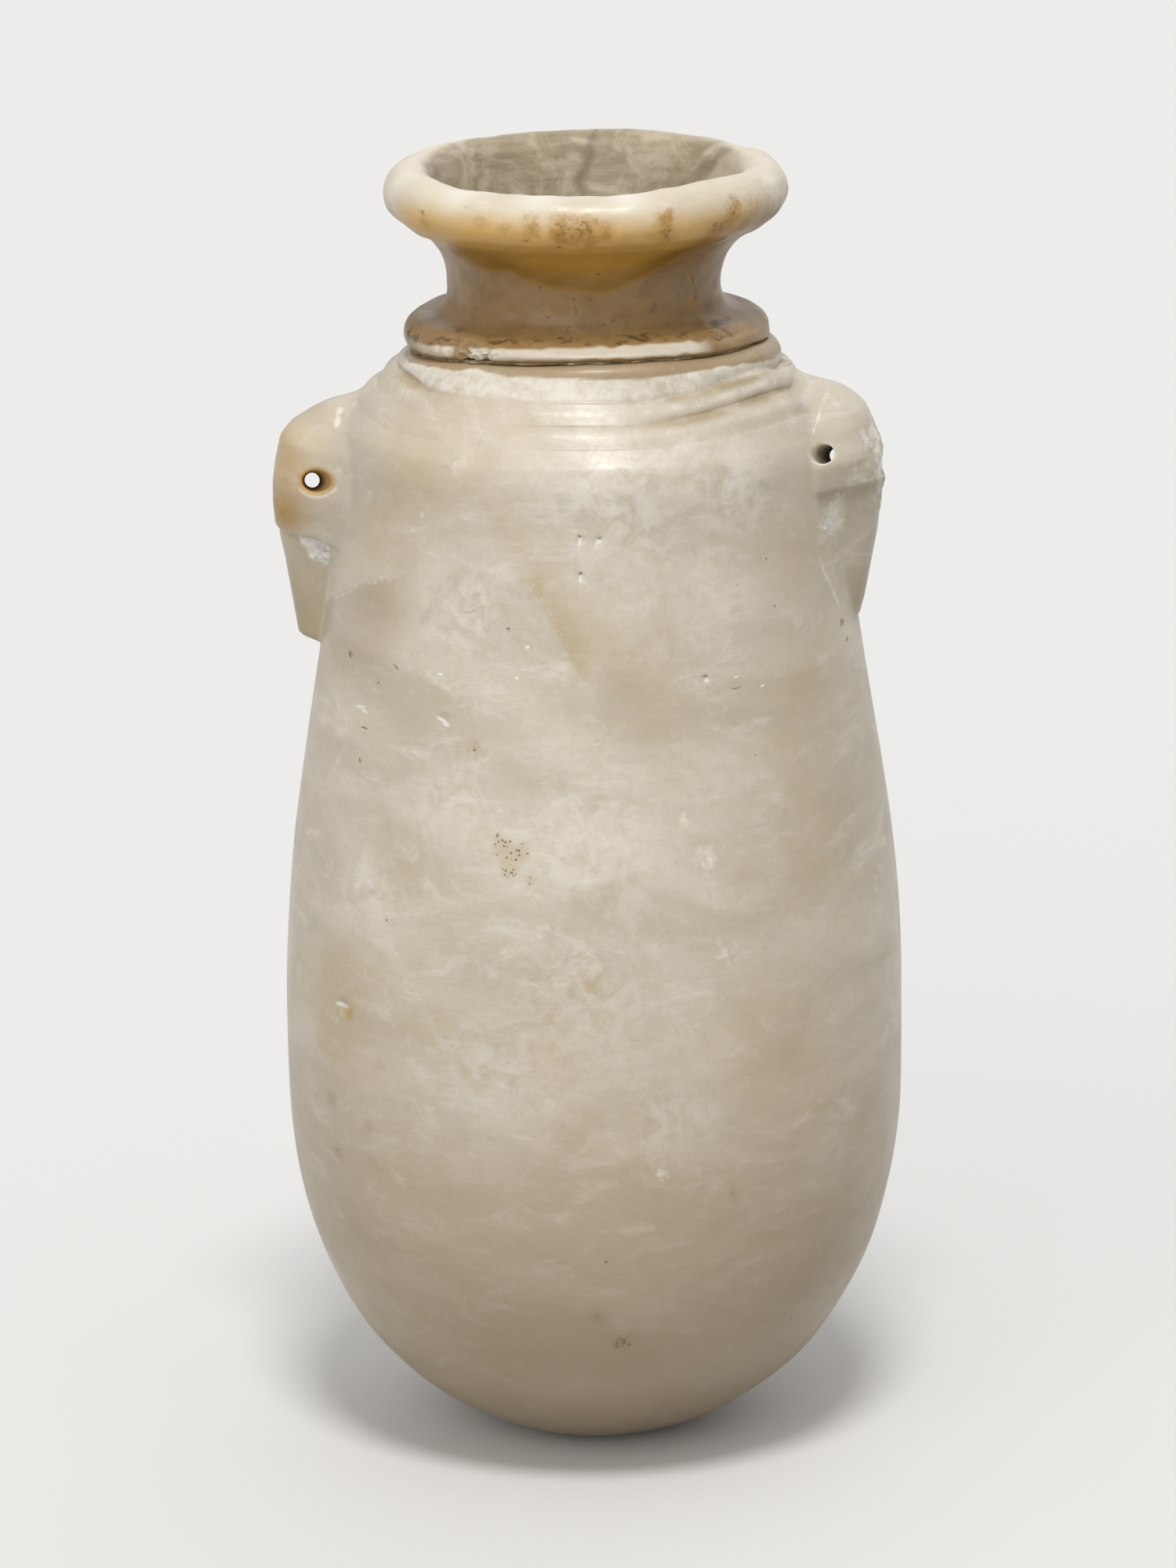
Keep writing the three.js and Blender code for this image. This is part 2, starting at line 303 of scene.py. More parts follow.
def outer_rows():
    stair = [*zip((LOW_RIDGE_RADIUS, MIDDLE_RIDGE_RADIUS, TOP_RIDGE_RADIUS), RIDGE_BOTTOMS),
             (MOUTH_FACE_RADIUS, MOUTH_HEIGHT)]
    ridges = [(ridge(outer, inner, bottom, top), COLLAR_SPACING)
              for (outer, bottom), (inner, top) in zip(stair, stair[1:])]
    shoulder_width = SHOULDER_RADIUS - LOW_RIDGE_RADIUS
    shoulder = arc(LOW_RIDGE_RADIUS, SHOULDER_HEIGHT, shoulder_width, SHOULDER_ROUND_HEIGHT, 0, 90)
    return joined(
        *legs(SEAT_SPACING * 4, (0, 0), (FOOT_RADIUS, 0)),
        (body_wall(0, TAIL_LEVEL), BOWL_SPACING),
        (body_wall(TAIL_LEVEL, SHOULDER_HEIGHT), TAIL_SPACING),
        (shoulder, COLLAR_SPACING),
        *ridges,
        *legs(SEAT_SPACING, (MOUTH_FACE_RADIUS, MOUTH_HEIGHT), (MOUTH_BORE_RADIUS, MOUTH_HEIGHT)),
    )


def inner_rows():
    ceiling_width = float(hollow_radius(CEILING_BOTTOM)) - MOUTH_BORE_RADIUS
    return joined(
        *legs(HOLLOW_SPACING, (MOUTH_BORE_RADIUS, MOUTH_HEIGHT), (MOUTH_BORE_RADIUS, CEILING_TOP)),
        (arc(MOUTH_BORE_RADIUS, CEILING_BOTTOM, ceiling_width, CEILING_HEIGHT, 90, 0), HOLLOW_SPACING),
        (hollow_wall(FLOOR_THICKNESS, CEILING_BOTTOM), HOLLOW_SPACING),
    )


def column_angles(with_lugs):
    """Azimuths of the columns, closer together at the front and on the flanks of the lugs."""
    azimuths = np.linspace(-180, 180, 20 * DENSE_STEPS)
    steps = np.where(np.abs(azimuths) < FRONT_HALF_ANGLE, FRONT_STEP, BACK_STEP)
    if with_lugs:
        for lug in LUGS:
            away = np.abs(azimuths - lug["azimuth"])
            steps = np.where(away < LUG_HALF_ANGLE, LUG_STEP, steps)
            steps = np.where((away > FLANK_START) & (away < FLANK_END), FLANK_STEP, steps)
    progress = np.concatenate(([0], np.cumsum(np.diff(azimuths) / steps[1:])))
    count = int(round(progress[-1]))
    return np.interp(np.arange(count) * progress[-1] / count, progress, azimuths)


def grid_points(rows, azimuths):
    angles = np.radians(azimuths)[None, :]
    radii = rows[:, 0][:, None]
    heights = np.broadcast_to(rows[:, 1][:, None], (len(rows), len(azimuths)))
    return np.stack((radii * np.sin(angles), -radii * np.cos(angles), heights), axis=-1)


# Lugs
def softened(positions, values, targets, softness):
    """Straight pieces between table entries, with their corners rounded over the given length."""
    reach = 3 * softness
    fine = np.linspace(positions[0] - reach, positions[-1] + reach, 8 * DENSE_STEPS)
    raw = np.interp(fine, positions, values)
    pitch = fine[1] - fine[0]
    offsets = np.arange(-int(reach / pitch), int(reach / pitch) + 1) * pitch
    kernel = np.exp(-(offsets / softness) ** 2)
    padded = np.pad(raw, len(offsets) // 2, mode="edge")
    return np.interp(targets, fine, np.convolve(padded, kernel / kernel.sum(), mode="valid"))


def lug_level(lug, share):
    """Height at a share of the lug, from 0 at its foot to 1 at its top."""
    return SHOULDER_HEIGHT + lug["top_rise"] - lug["height"] * (1 - share)


def lug_section(lug, heights):
    """Outermost radius and half width of a lug at each height."""
    shares = np.array(lug["station_shares"])
    levels = lug_level(lug, shares[:, 0])
    projection = lug["projection"] * softened(levels, shares[:, 1], heights, LUG_SOFTNESS)
    half_width = lug["half_width"] * softened(levels, shares[:, 2], heights, LUG_SOFTNESS)
    return SHOULDER_RADIUS + projection, half_width


def lug_distance(lug, root, outward, sideways, heights):
    """Roughly how far a point is outside the lug's surface; negative inside it."""
    inwards = SHOULDER_RADIUS + lug["projection"] - outward
    near_ledge = hump(heights - lug_level(lug, lug["ledge_share"]), LEDGE_WINDOW)
    tip, half_width = lug_section(lug, heights + lug["ledge_slope"] * near_ledge * inwards)
    reach = np.maximum(tip - root, 0.2)
    across = np.abs(sideways) / half_width
    along = np.maximum(outward - root, 0) / reach
    size = (along ** LUG_PLAN_POWER + across ** LUG_PLAN_POWER) ** (1 / LUG_PLAN_POWER) + 1e-6
    return np.hypot(outward - root, sideways) * (1 - 1 / size)


def smooth_min(a, b, blend):
    share = np.clip(0.5 + 0.5 * (b - a) / blend, 0, 1)
    return b + (a - b) * share - blend * share * (1 - share)


def with_lug(points, azimuths, lug):
    """Moves the points of the body outwards on to the lug, with a soft fillet round its root."""
    heights = points[:, 0, 2]
    top = lug_level(lug, 1) + LUG_MARGIN
    bottom = lug_level(lug, 0) - LUG_MARGIN
    rows = np.nonzero((heights > bottom) & (heights < top))[0]
    away = azimuths - lug["azimuth"]
    columns = np.nonzero(np.abs(away) < LUG_SPREAD)[0]
    cell = np.ix_(rows, columns)
    angles = np.radians(away[columns])[None, :]
    level = heights[rows][:, None]
    radii = radii_of(points[cell])
    tail = TAIL_SHARE * lug["height"]
    head_share = smooth_step(bottom + tail, top - tail, level)
    blend = TAIL_FILLET + (HEAD_FILLET - TAIL_FILLET) * head_share
    blend += (CREASE_FILLET - blend) * smooth_step(SHOULDER_HEIGHT + 1, SHOULDER_HEIGHT + CREASE_RISE, level)
    blend = blend * smooth_step(LUG_SPREAD, LUG_SPREAD - 6, np.abs(away[columns]))[None, :] + 1e-3
    low = radii - blend
    high = np.full_like(low, SHOULDER_RADIUS + 3 * lug["projection"])
    root = radii.min(axis=1, keepdims=True) - LUG_ROOT_DEPTH
    for _ in range(BISECTIONS):
        middle = (low + high) / 2
        gap = lug_distance(lug, root, middle * np.cos(angles), middle * np.sin(angles), level)
        outside = smooth_min(middle - radii, gap, blend) > 0
        high = np.where(outside, middle, high)
        low = np.where(outside, low, middle)
    moved = points[cell]
    moved[..., :2] *= (np.maximum(high, radii) / radii)[..., None]
    points[cell] = moved


# Wear of the collar: how deep each of its grooves still is at each azimuth, from the lowest groove up
GROOVE_DEPTH_SHARES = [
    [(-180, 0.9), (-120, 1), (-95, 0.7), (-86, 0.4), (-74, 0.06), (-20, 0.04), (5, 0.12), (30, 0.1),
     (60, 0.12), (80, 0.25), (95, 0.4), (115, 0.9), (140, 0.85)],
    [(-180, 0.9), (-120, 1), (-95, 0.8), (-86, 0.5), (-74, 0.08), (-20, 0.05), (5, 0.12), (18, 0.3),
     (30, 0.75), (50, 0.95), (90, 1), (140, 0.85)],
    [(-180, 0.9), (-110, 1), (-58, 0.9), (-48, 0.5), (-40, 0.1), (-20, 0.05), (5, 0.1), (18, 0.3),
     (28, 0.8), (33, 0.35), (38, 0.4), (44, 0.9), (90, 1), (140, 0.85)],
]
WORN_SLOPE = [
    (SHOULDER_RADIUS - 1.2, SHOULDER_HEIGHT + 6),
    (LOW_RIDGE_RADIUS - 0.3, MIDDLE_RIDGE_BOTTOM - 1.6),
    (MIDDLE_RIDGE_RADIUS - 0.4, TOP_RIDGE_BOTTOM - 1.4),
    (TOP_RIDGE_RADIUS - 0.6, MOUTH_HEIGHT - 1.2),
]


def groove_depth(azimuths, heights):
    """How much of the collar's relief is left at each place, from the grooves below and above it."""
    low, middle, top = [around(azimuths, table) for table in GROOVE_DEPTH_SHARES]
    lower = np.clip((heights - LOW_RIDGE_BOTTOM) / LOW_RIDGE_HEIGHT, 0, 1)
    upper = np.clip((heights - MIDDLE_RIDGE_BOTTOM) / MIDDLE_RIDGE_HEIGHT, 0, 1)
    return low + (middle - low) * lower + (top - middle) * upper


def on_outside(points):
    """Leaves out the mouth's face, on which the neck is bedded."""
    return radii_of(points) > MOUTH_FACE_RADIUS + 0.5


def worn_collar(points, azimuths):
    """Softens the steps of the collar towards a plain slope where they are worn away."""
    radii = radii_of(points)
    heights = points[:, :1, 2]
    slope_radii, slope_heights = zip(*WORN_SLOPE)
    slope = np.interp(heights, slope_heights, slope_radii)
    in_collar = (heights > slope_heights[0]) & (heights < slope_heights[-1]) & on_outside(points)
    wear = (1 - groove_depth(azimuths[None, :], heights)) * in_collar
    worn_radii = radii + (slope - radii) * wear
    points[..., :2] *= (worn_radii / np.maximum(radii, 1))[..., None]


# How far the ridges and the joint of body and neck rise or sink at each azimuth
RIDGE_RISE = [
    (-180, 0), (-75, 0.3), (-65, 0.3), (-50, -0.7), (-35, -0.3), (-20, 0), (25, 0), (38, 0.6), (48, 1.2),
    (60, 1.6), (70, 1.3), (80, 0.2), (88, 0),
]
JOINT_RISE = [
    (-180, -0.4), (-90, -1.9), (-70, -0.9), (-53, -0.1), (-39, 0.7), (-20, 1.5), (5, 2.1), (25, 2.1),
    (45, 1.6), (70, 1.4), (95, 0.2),
]
JOINT_REACH_BELOW = 4.4
JOINT_REACH_ABOVE = 4.6


def ridge_rise(azimuths, heights):
    lower = smooth_step(SHOULDER_HEIGHT + 5, MIDDLE_RIDGE_BOTTOM, heights)
    upper = smooth_step(MOUTH_HEIGHT, TOP_RIDGE_BOTTOM + 0.6, heights)
    return around(azimuths, RIDGE_RISE) * lower * upper


def ridges_followed(points, azimuths):
    """Lets the ridges run as unevenly as they were carved."""
    points[..., 2] += ridge_rise(azimuths[None, :], points[..., 2]) * on_outside(points)


def joint_followed(points, azimuths):
    """Bends the rows near the joint so that it runs as unevenly as it was cut."""
    offsets = points[..., 2] - MOUTH_HEIGHT - JOINT_HEIGHT / 2
    reach = np.where(offsets < 0, -JOINT_REACH_BELOW, JOINT_REACH_ABOVE)
    outer = smooth_step(SPIGOT_RADIUS, MOUTH_BORE_RADIUS + 2, radii_of(points))
    points[..., 2] += around(azimuths, JOINT_RISE)[None, :] * smooth_step(reach, 0, offsets) * outer


# Marks on the stone, placed by how far right of the axis and how high they are, on the front
# Each dent has its place, radius and depth; each lump of a chipped edge is a dent too
BODY_DENTS = [
    (-42.6, 89.8, 1.7, 0.5), (-22.8, 145.3, 1.6, 0.3), (-38.4, 143.9, 1.2, 0.25), (-41.6, 152, 0.9, 0.4),
    (2.1, 179.1, 1, 0.3), (5.3, 178.8, 1, 0.3), (2.2, 172.4, 1, 0.3), (24.1, 153.1, 0.8, 0.3),
]
FRACTURE_DENTS = [(-49.2, 168.4, 3.2, 0.6), (-48, 166.6, 2.4, 0.6)]
RIGHT_EDGE_DENTS = [
    (52.6, 187.6, 2, 0.6), (53.4, 184.2, 1.6, 0.3), (54.2, 180.8, 2.4, 0.9), (54.2, 177, 1.8, 0.4),
    (54, 173, 1.5, 0.4), (53, 169, 1.6, 0.3),
]


def grid_normals(points):
    """Outward directions at the points of a grid that goes round and closes on itself."""
    around_step = np.roll(points, -1, axis=1) - np.roll(points, 1, axis=1)
    along_step = np.gradient(points, axis=0)
    normals = np.cross(around_step, along_step)
    lengths = np.linalg.norm(normals, axis=-1, keepdims=True)
    return normals / np.maximum(lengths, 1e-9)


def front_place(points, right, height):
    """The point of the front surface that is that far right of the axis and that high."""
    inward_penalty = 0.05
    off = (points[..., 0] - right) ** 2 + (points[..., 2] - height) ** 2
    off = np.where(points[..., 1] < 0, off + inward_penalty * (BELLY_RADIUS + points[..., 1]), np.inf)
    return points.reshape(-1, 3)[np.argmin(off)]


def distance_from(points, right, height):
    return np.linalg.norm(points - front_place(points, right, height), axis=-1)


def dented(points, marks, roughness, seed):
    """Presses a shallow, slightly ragged dent into the surface at each mark."""
    ragged = 1 + roughness * waves(points, 1.6, seed)
    depth = np.zeros(points.shape[:2])
    for right, height, radius, deepest in marks:
        away = distance_from(points, right, height)
        depth = np.maximum(depth, deepest * np.clip(1 - (away / radius) ** 2, 0, 1) * ragged)
    points -= grid_normals(points) * depth[..., None]


def carved_relief(points, amount, size, seed, share=1.0):
    """Swells and hollows of the given size, left by carving by hand or by wear."""
    points += grid_normals(points) * (share * amount * waves(points, size, seed))[..., None]


def worn_edge_share(points):
    """How much of the right lug's outer edge is chipped, which is only its upper half."""
    edge = smooth_step(SHOULDER_RADIUS + 4, SHOULDER_RADIUS + 6.6, radii_of(points))
    return edge * (points[..., 0] > 0) * rise_and_fall(points[..., 2], 173, 178, 190, 194)


# Meshes
def grid_faces(row_count, column_count):
    rows, columns = np.meshgrid(np.arange(row_count - 1), np.arange(column_count), indexing="ij")
    after = (columns + 1) % column_count
    corners = [rows * column_count + columns, rows * column_count + after,
               (rows + 1) * column_count + after, (rows + 1) * column_count + columns]
    return np.stack(corners, axis=-1).reshape(-1, 4)


def linked(name, data):
    thing = bpy.data.objects.new(name, data)
    bpy.context.scene.collection.objects.link(thing)
    return thing


def mesh_object(name, vertices, faces):
    mesh = bpy.data.meshes.new(name)
    mesh.from_pydata((np.asarray(vertices) * MM).tolist(), [], faces)
    mesh.validate()
    mesh.shade_smooth()
    return linked(name, mesh)


def closed_grid(name, points):
    """A surface whose first and last rows lie on the axis and close in a point."""
    row_count, column_count = points.shape[:2]
    vertices = list(points[1:-1].reshape(-1, 3)) + [points[0, 0], points[-1, 0]]
    faces = grid_faces(row_count - 2, column_count).tolist()
    first_pole = len(vertices) - 2
    last_ring = (row_count - 3) * column_count
    for column in range(column_count):
        after = (column + 1) % column_count
        faces.append((first_pole, after, column))
        faces.append((first_pole + 1, last_ring + column, last_ring + after))
    return mesh_object(name, vertices, faces)


def ring_grid(name, points):
    """A surface whose last row is its first, so that it closes like a ring."""
    row_count, column_count = points.shape[:2]
    faces = grid_faces(row_count, column_count)
    faces = faces % ((row_count - 1) * column_count)
    return mesh_object(name, points[:-1].reshape(-1, 3), faces.tolist())


def vertex_array(piece):
    flat = np.empty(len(piece.data.vertices) * 3)
    piece.data.vertices.foreach_get("co", flat)
    return flat.reshape(-1, 3) / MM


def set_vertices(piece, points):
    piece.data.vertices.foreach_set("co", (points * MM).ravel())
    piece.data.update()


def set_shares(piece, *paints):
    """Stores the strongest share of each name for each vertex, which the materials read by its name."""
    for name in sorted(set().union(*paints)):
        values = np.maximum.reduce([paint[name] for paint in paints if name in paint])
        attribute = piece.data.attributes.new(name, "FLOAT", "POINT")
        attribute.data.foreach_set("value", np.clip(values, 0, 1).astype(np.float32))


# String holes, drilled from both faces of a lug so that the two halves meet at a slight angle
def hole_middle(lug):
    side = math.copysign(1, lug["azimuth"])
    return side * (SHOULDER_RADIUS + lug["hole_outset"]), lug_level(lug, 1) - lug["hole_below_top"]


def hole_course(lug, depths):
    """Centre of the hole at each distance behind the plane of the lugs, as x and z."""
    middle_x, middle_z = hole_middle(lug)
    turns = np.where(depths < 0, lug["hole_front_turn"], lug["hole_back_turn"])
    dips = np.where(depths < 0, lug["hole_front_dip"], lug["hole_back_dip"])
    return middle_x + depths * np.tan(np.radians(turns)), middle_z - depths * np.tan(np.radians(dips))


def hole_radius(lug, depths):
    """Radius at each distance from the waist and how much wider than tall the hole is there."""
    share = np.clip(np.abs(depths) / lug["half_width"], 0, 1) ** 2
    widened = HOLE_WAIST_RADIUS + (lug["hole_mouth_radius"] - HOLE_WAIST_RADIUS) * share
    return widened, 1 + (lug["hole_mouth_stretch"] - 1) * share


def hole_tool(lug):
    depths = np.linspace(-HOLE_REACH, HOLE_REACH, HOLE_ROWS)
    depths = np.concatenate((depths[:1], depths, depths[-1:]))
    centre_x, centre_z = hole_course(lug, depths)
    radii, stretch = hole_radius(lug, depths)
    radii[0] = radii[-1] = 0
    angles = np.radians(np.arange(0, 360, HOLE_STEP))[None, :]
    across = centre_x[:, None] + (radii * stretch)[:, None] * np.sin(angles)
    up = centre_z[:, None] + radii[:, None] * np.cos(angles)
    points = np.stack((across, np.broadcast_to(depths[:, None], across.shape), up), axis=-1)
    return closed_grid("hole_tool", points)


def drilled(piece, lug):
    tool = hole_tool(lug)
    cut = piece.modifiers.new("string_hole", "BOOLEAN")
    cut.operation = "DIFFERENCE"
    cut.solver = "MANIFOLD"
    cut.object = tool
    graph = bpy.context.evaluated_depsgraph_get()
    final = bpy.data.meshes.new_from_object(piece.evaluated_get(graph))
    piece.modifiers.clear()
    piece.data = final
    bpy.data.objects.remove(tool)


def depth_and_gap(points, lug):
    """Distance along the hole from its waist, and distance outside the wall of the hole."""
    depths = points[:, 1]
    centre_x, centre_z = hole_course(lug, depths)
    radii, stretch = hole_radius(lug, depths)
    away = np.hypot((points[:, 0] - centre_x) / stretch, points[:, 2] - centre_z)
    return depths, away - radii


def worn_hole_edges(piece, lug):
    """Rounds the sharp edge where a hole meets the faces of its lug."""
    points = vertex_array(piece)
    edges = np.empty(len(piece.data.edges) * 2, int)
    piece.data.edges.foreach_get("vertices", edges)
    edges = edges.reshape(-1, 2)
    depths, gap = depth_and_gap(points, lug)
    on_wall = (np.abs(gap) < 0.04) & (np.abs(depths) < HOLE_REACH)
    mixed = on_wall[edges[:, 0]] != on_wall[edges[:, 1]]
    region = np.zeros(len(points), bool)
    region[edges[mixed].ravel()] = True
    for _ in range(2):
        touched = region[edges].any(axis=1)
        region[edges[touched].ravel()] = True
    near = edges[region[edges].any(axis=1)]
    pull = 0.6
    for _ in range(lug["hole_edge_rounds"]):
        sums = np.zeros_like(points)
        counts = np.zeros(len(points))
        for here, there in ((0, 1), (1, 0)):
            np.add.at(sums, near[:, here], points[near[:, there]])
            np.add.at(counts, near[:, here], 1)
        smooth = sums[region] / counts[region][:, None]
        points[region] += pull * (smooth - points[region])
    set_vertices(piece, points)


def azimuths_of(points):
    return np.degrees(np.arctan2(points[..., 0], -points[..., 1]))


def blots(points, marks):
    """Soft round spots; each mark has its place, radius and strength."""
    return np.maximum.reduce([strength * hump(distance_from(points, right, height), radius)
                              for right, height, radius, strength in marks])


def strokes(points, lines):
    """Long marks on the front; each has its two ends, a width to its left and right, and a strength."""
    total = np.zeros(len(points))
    front = points[:, 1] < 0
    for (start_x, start_z), (end_x, end_z), left, right, strength in lines:
        length = math.hypot(end_x - start_x, end_z - start_z)
        run_x, run_z = (end_x - start_x) / length, (end_z - start_z) / length
        off_x, off_z = points[:, 0] - start_x, points[:, 2] - start_z
        along = (off_x * run_x + off_z * run_z) / length
        across = off_z * run_x - off_x * run_z
        side = hump(across, np.where(across < 0, left, right))
        total = np.maximum(total, strength * side * rise_and_fall(along, 0, 0.25, 0.75, 1) * front)
    return total


# Height at each azimuth at which the painted shadow band under the flange begins
SHADOW_BORDER_HEIGHTS = [
    (-180, 203.6), (-90, 203.4), (-66, 203.8), (-52, 204.5), (-41, 204.8), (-36, 205.3), (-33, 205.6),
    (-29, 205.7), (-25, 205.4), (-20, 205.1), (-12, 205.4), (0, 205.5), (11, 205.2), (20, 204.9),
    (32, 205.3), (46, 205.4), (59, 205), (75, 203.8), (110, 203.6),
]

# Soft spots of each painted share, with place, radius and strength, and strokes from end to end
BODY_BLOTS = {
    "stain": [
        (-45.4, 71.2, 2.2, 0.7), (-37.8, 68.4, 2, 0.6), (-44.5, 61, 2.2, 0.7), (-36.5, 61.9, 2.2, 0.6),
        (4.7, 36.2, 1.7, 0.7), (9, 30.3, 3, 0.8), (28.9, 58.7, 1.6, 0.6), (-17.6, 141.4, 2.6, 0.55),
        (-21.5, 190.8, 1.6, 0.5),
    ],
    "speckles": [
        (-11.4, 123.6, 2.2, 1), (-8.8, 122.8, 2.2, 1), (-10.2, 121, 2.2, 1), (-12.2, 125.2, 1.2, 0.9),
        (-6.6, 118.6, 1.4, 0.6),
    ],
    "pale": [
        (24, 121.5, 2.6, 0.7), (20.4, 128.6, 1.6, 0.7), (16.5, 64, 1.4, 0.6), (-28.5, 178, 0.9, 0.7),
        (-26.8, 181.2, 0.7, 0.7), (-37.5, 181.5, 1.6, 0.5), (-44, 184, 1.4, 0.6), (3.5, 187.8, 2.4, 0.5),
        (27, 104.5, 2.4, 0.5), (45.2, 177, 3, 0.9), (45.4, 174.4, 2.6, 0.8), (50.4, 189.6, 3.4, 0.5),
        (49.4, 184, 3, 0.5),
    ],
    "cloud": [
        (-19, 166, 10, 0.8), (-38, 112, 8, 0.8), (6, 124, 13, 0.7), (2, 98, 15, 0.5), (28, 186, 9, 0.9),
        (8, 184, 13, 0.9), (26, 170, 8, 0.7), (-22, 130, 10, 0.6), (-12, 84, 12, 0.5), (18, 74, 10, 0.4),
    ],
    # Warm tan spots; the broad ones on the flanks are partly the stone's tone and partly painted shade
    "warm": [
        (-30, 186, 10, 0.5), (-36, 176, 9, 0.6), (40, 172, 11, 0.5), (42, 150, 12, 0.5), (44, 120, 13, 0.5),
        (-44, 92, 12, 0.6), (38, 84, 14, 0.5), (3.5, 100.5, 2.6, 0.8), (12, 60, 14, 0.35),
    ],
    "amber": [(-41.2, 88.6, 1.3, 1)],
    "crystal": [
        (-49.6, 168.6, 2.2, 1), (-47.8, 168.2, 1.8, 1), (-48.2, 166.4, 1.7, 1), (-50.8, 169.6, 1.9, 1),
        (-50, 167, 1.4, 0.8), (-52, 169.8, 1.3, 0.9), (43.8, 175.3, 1.2, 0.9),
    ],
}
BODY_STROKES = {
    "warm": [
        ((-21, 193), (22, 139.5), 3.4, 4.6, 0.42), ((-9, 175.5), (4.2, 151.5), 0.35, 5.2, 0.9),
        ((-46, 166), (-28, 172), 0.35, 5, 0.35),
    ],
    # Pale lines; the bar on the left lug's head, the V on the right lug's head and the two lines across the
    # front of the ridges are painted highlights
    "pale": [
        ((-8.6, 175), (1.6, 157), 0.25, 0.3, 0.4), ((42.4, 171), (46.8, 157.6), 0.25, 0.3, 0.6),
        ((41, 190.4), (43.9, 198.4), 0.25, 0.35, 0.7), ((42.6, 197.4), (46.4, 194.9), 0.25, 0.4, 0.5),
        ((-45.2, 190.2), (-45, 194.4), 0.5, 0.5, 1), ((-46.7, 127.6), (-41.1, 138.4), 0.4, 0.5, 0.35),
        ((-47.4, 158.6), (-38.6, 165.8), 0.3, 0.4, 0.5), ((-39, 165.6), (-30.6, 169.4), 0.3, 0.4, 0.5),
        ((-9, 199.6), (9, 199.4), 0.5, 0.5, 0.6), ((-6, 196.4), (6, 196.4), 0.4, 0.4, 0.6),
        ((51.2, 192), (53.4, 183), 0.7, 0.7, 1), ((53, 186), (53.6, 174), 0.7, 0.7, 0.9),
    ],
}
# Crisp small marks: place, half width, half height and turn
WHITE_CHIPS = [
    (-23.4, 153.3, 0.6, 0.25, 0), (-39, 144.2, 1, 0.3, 12), (-38.2, 143.6, 0.7, 0.28, -20),
    (-22.9, 145.2, 1.4, 0.35, -28), (-22.3, 144.7, 0.8, 0.5, -28), (-7.3, 159.7, 0.4, 0.32, 0),
    (-9.2, 154, 0.32, 0.32, 0), (2.1, 178.8, 0.42, 0.4, 0), (2, 178.2, 0.22, 0.6, 0),
    (5.2, 178.5, 0.5, 0.35, -20), (4.9, 177.7, 0.25, 0.5, -10), (2.2, 172.3, 0.4, 0.3, 0),
    (2.2, 171.7, 0.2, 0.5, 0), (24.1, 152.8, 0.5, 0.32, 0), (29.2, 152.6, 0.4, 0.3, 0),
    (33.6, 150.2, 0.35, 0.28, 0), (-42.6, 89.9, 1.4, 0.45, 0), (43.8, 175.3, 0.9, 0.8, 20),
]
DARK_SPECKS = [
    (2, 179.5, 0.42, 0.22, -20), (5.6, 179.2, 0.34, 0.2, 30), (2.1, 172.9, 0.36, 0.26, 0),
    (-41.6, 152.3, 0.28, 0.8, 0), (-35.5, 149.4, 0.25, 0.25, 0), (-31.9, 153, 0.7, 0.2, -40),
    (-38.3, 140.8, 0.7, 0.22, 0), (-39.1, 134.9, 0.3, 0.5, 10), (-16.9, 140.7, 0.4, 0.22, 15),
    (29.1, 150.6, 0.9, 0.13, 0), (34.1, 172.4, 0.16, 0.25, 0), (35.6, 163.7, 0.2, 0.2, 0),
    (23.9, 153.5, 0.6, 0.18, 0), (46.6, 156.4, 0.3, 0.7, 0), (47.5, 153, 0.25, 0.45, 0),
    (-33.5, 108, 0.25, 0.25, 0),
]


def collar_paint(points, radii, azimuths):
    """Painted shade with some dirt in the grooves, the painted shadow band under the flange, and painted
    highlights of pale stone on the top face and the crests.
    """
    heights = points[:, 2]
    from_front = np.abs(azimuths)
    level = heights - ridge_rise(azimuths, heights)
    on_ridges = (radii > MOUTH_FACE_RADIUS) & (radii < SHOULDER_RADIUS - 3.5)
    relief = groove_depth(azimuths, level) * on_ridges
    off_lugs = np.maximum(smooth_step(82, 72, from_front), smooth_step(98, 108, from_front))
    groove_width, crest_drop, crest_width = 0.8, 1.4, 0.9
    # Painted shade with some dirt in the grooves, where their relief is left and off the lugs
    grooves = np.maximum.reduce([hump(level - bottom, groove_width) for bottom in RIDGE_BOTTOMS])
    middle_crest, top_crest = [hump(level - bottom + crest_drop, crest_width) for bottom in RIDGE_BOTTOMS[1:]]
    # Painted highlights on the crests, on the front only
    crest_highlights = np.maximum(0.6 * middle_crest, top_crest) * relief * smooth_step(85, 60, from_front)
    # Painted shadow of the rim and flange on the top ridge, down to a crisp border, with dirt specks and a
    # darker tinge
    border = around(azimuths, SHADOW_BORDER_HEIGHTS) + 0.12 * waves(points, 5, 51)
    flange_shadow = smooth_step(-0.2, 0.2, heights - border) * (radii > MOUTH_BORE_RADIUS + 1)
    # Painted highlight on the lit top face of the top ridge, below the shadow band
    lit_top_face = smooth_step(TOP_RIDGE_BOTTOM, TOP_RIDGE_BOTTOM + 0.8, level) * smooth_step(85, 65, from_front)
    lit_top_face *= (1 - flange_shadow) * on_ridges
    return {
        "dirt": grooves * relief * off_lugs,
        "brown": flange_shadow,
        "stain": 0.35 * flange_shadow,
        "pale": 0.5 * crest_highlights + 0.42 * lit_top_face,
        "cloud": 0.8 * lit_top_face + 0.6 * crest_highlights,
    }


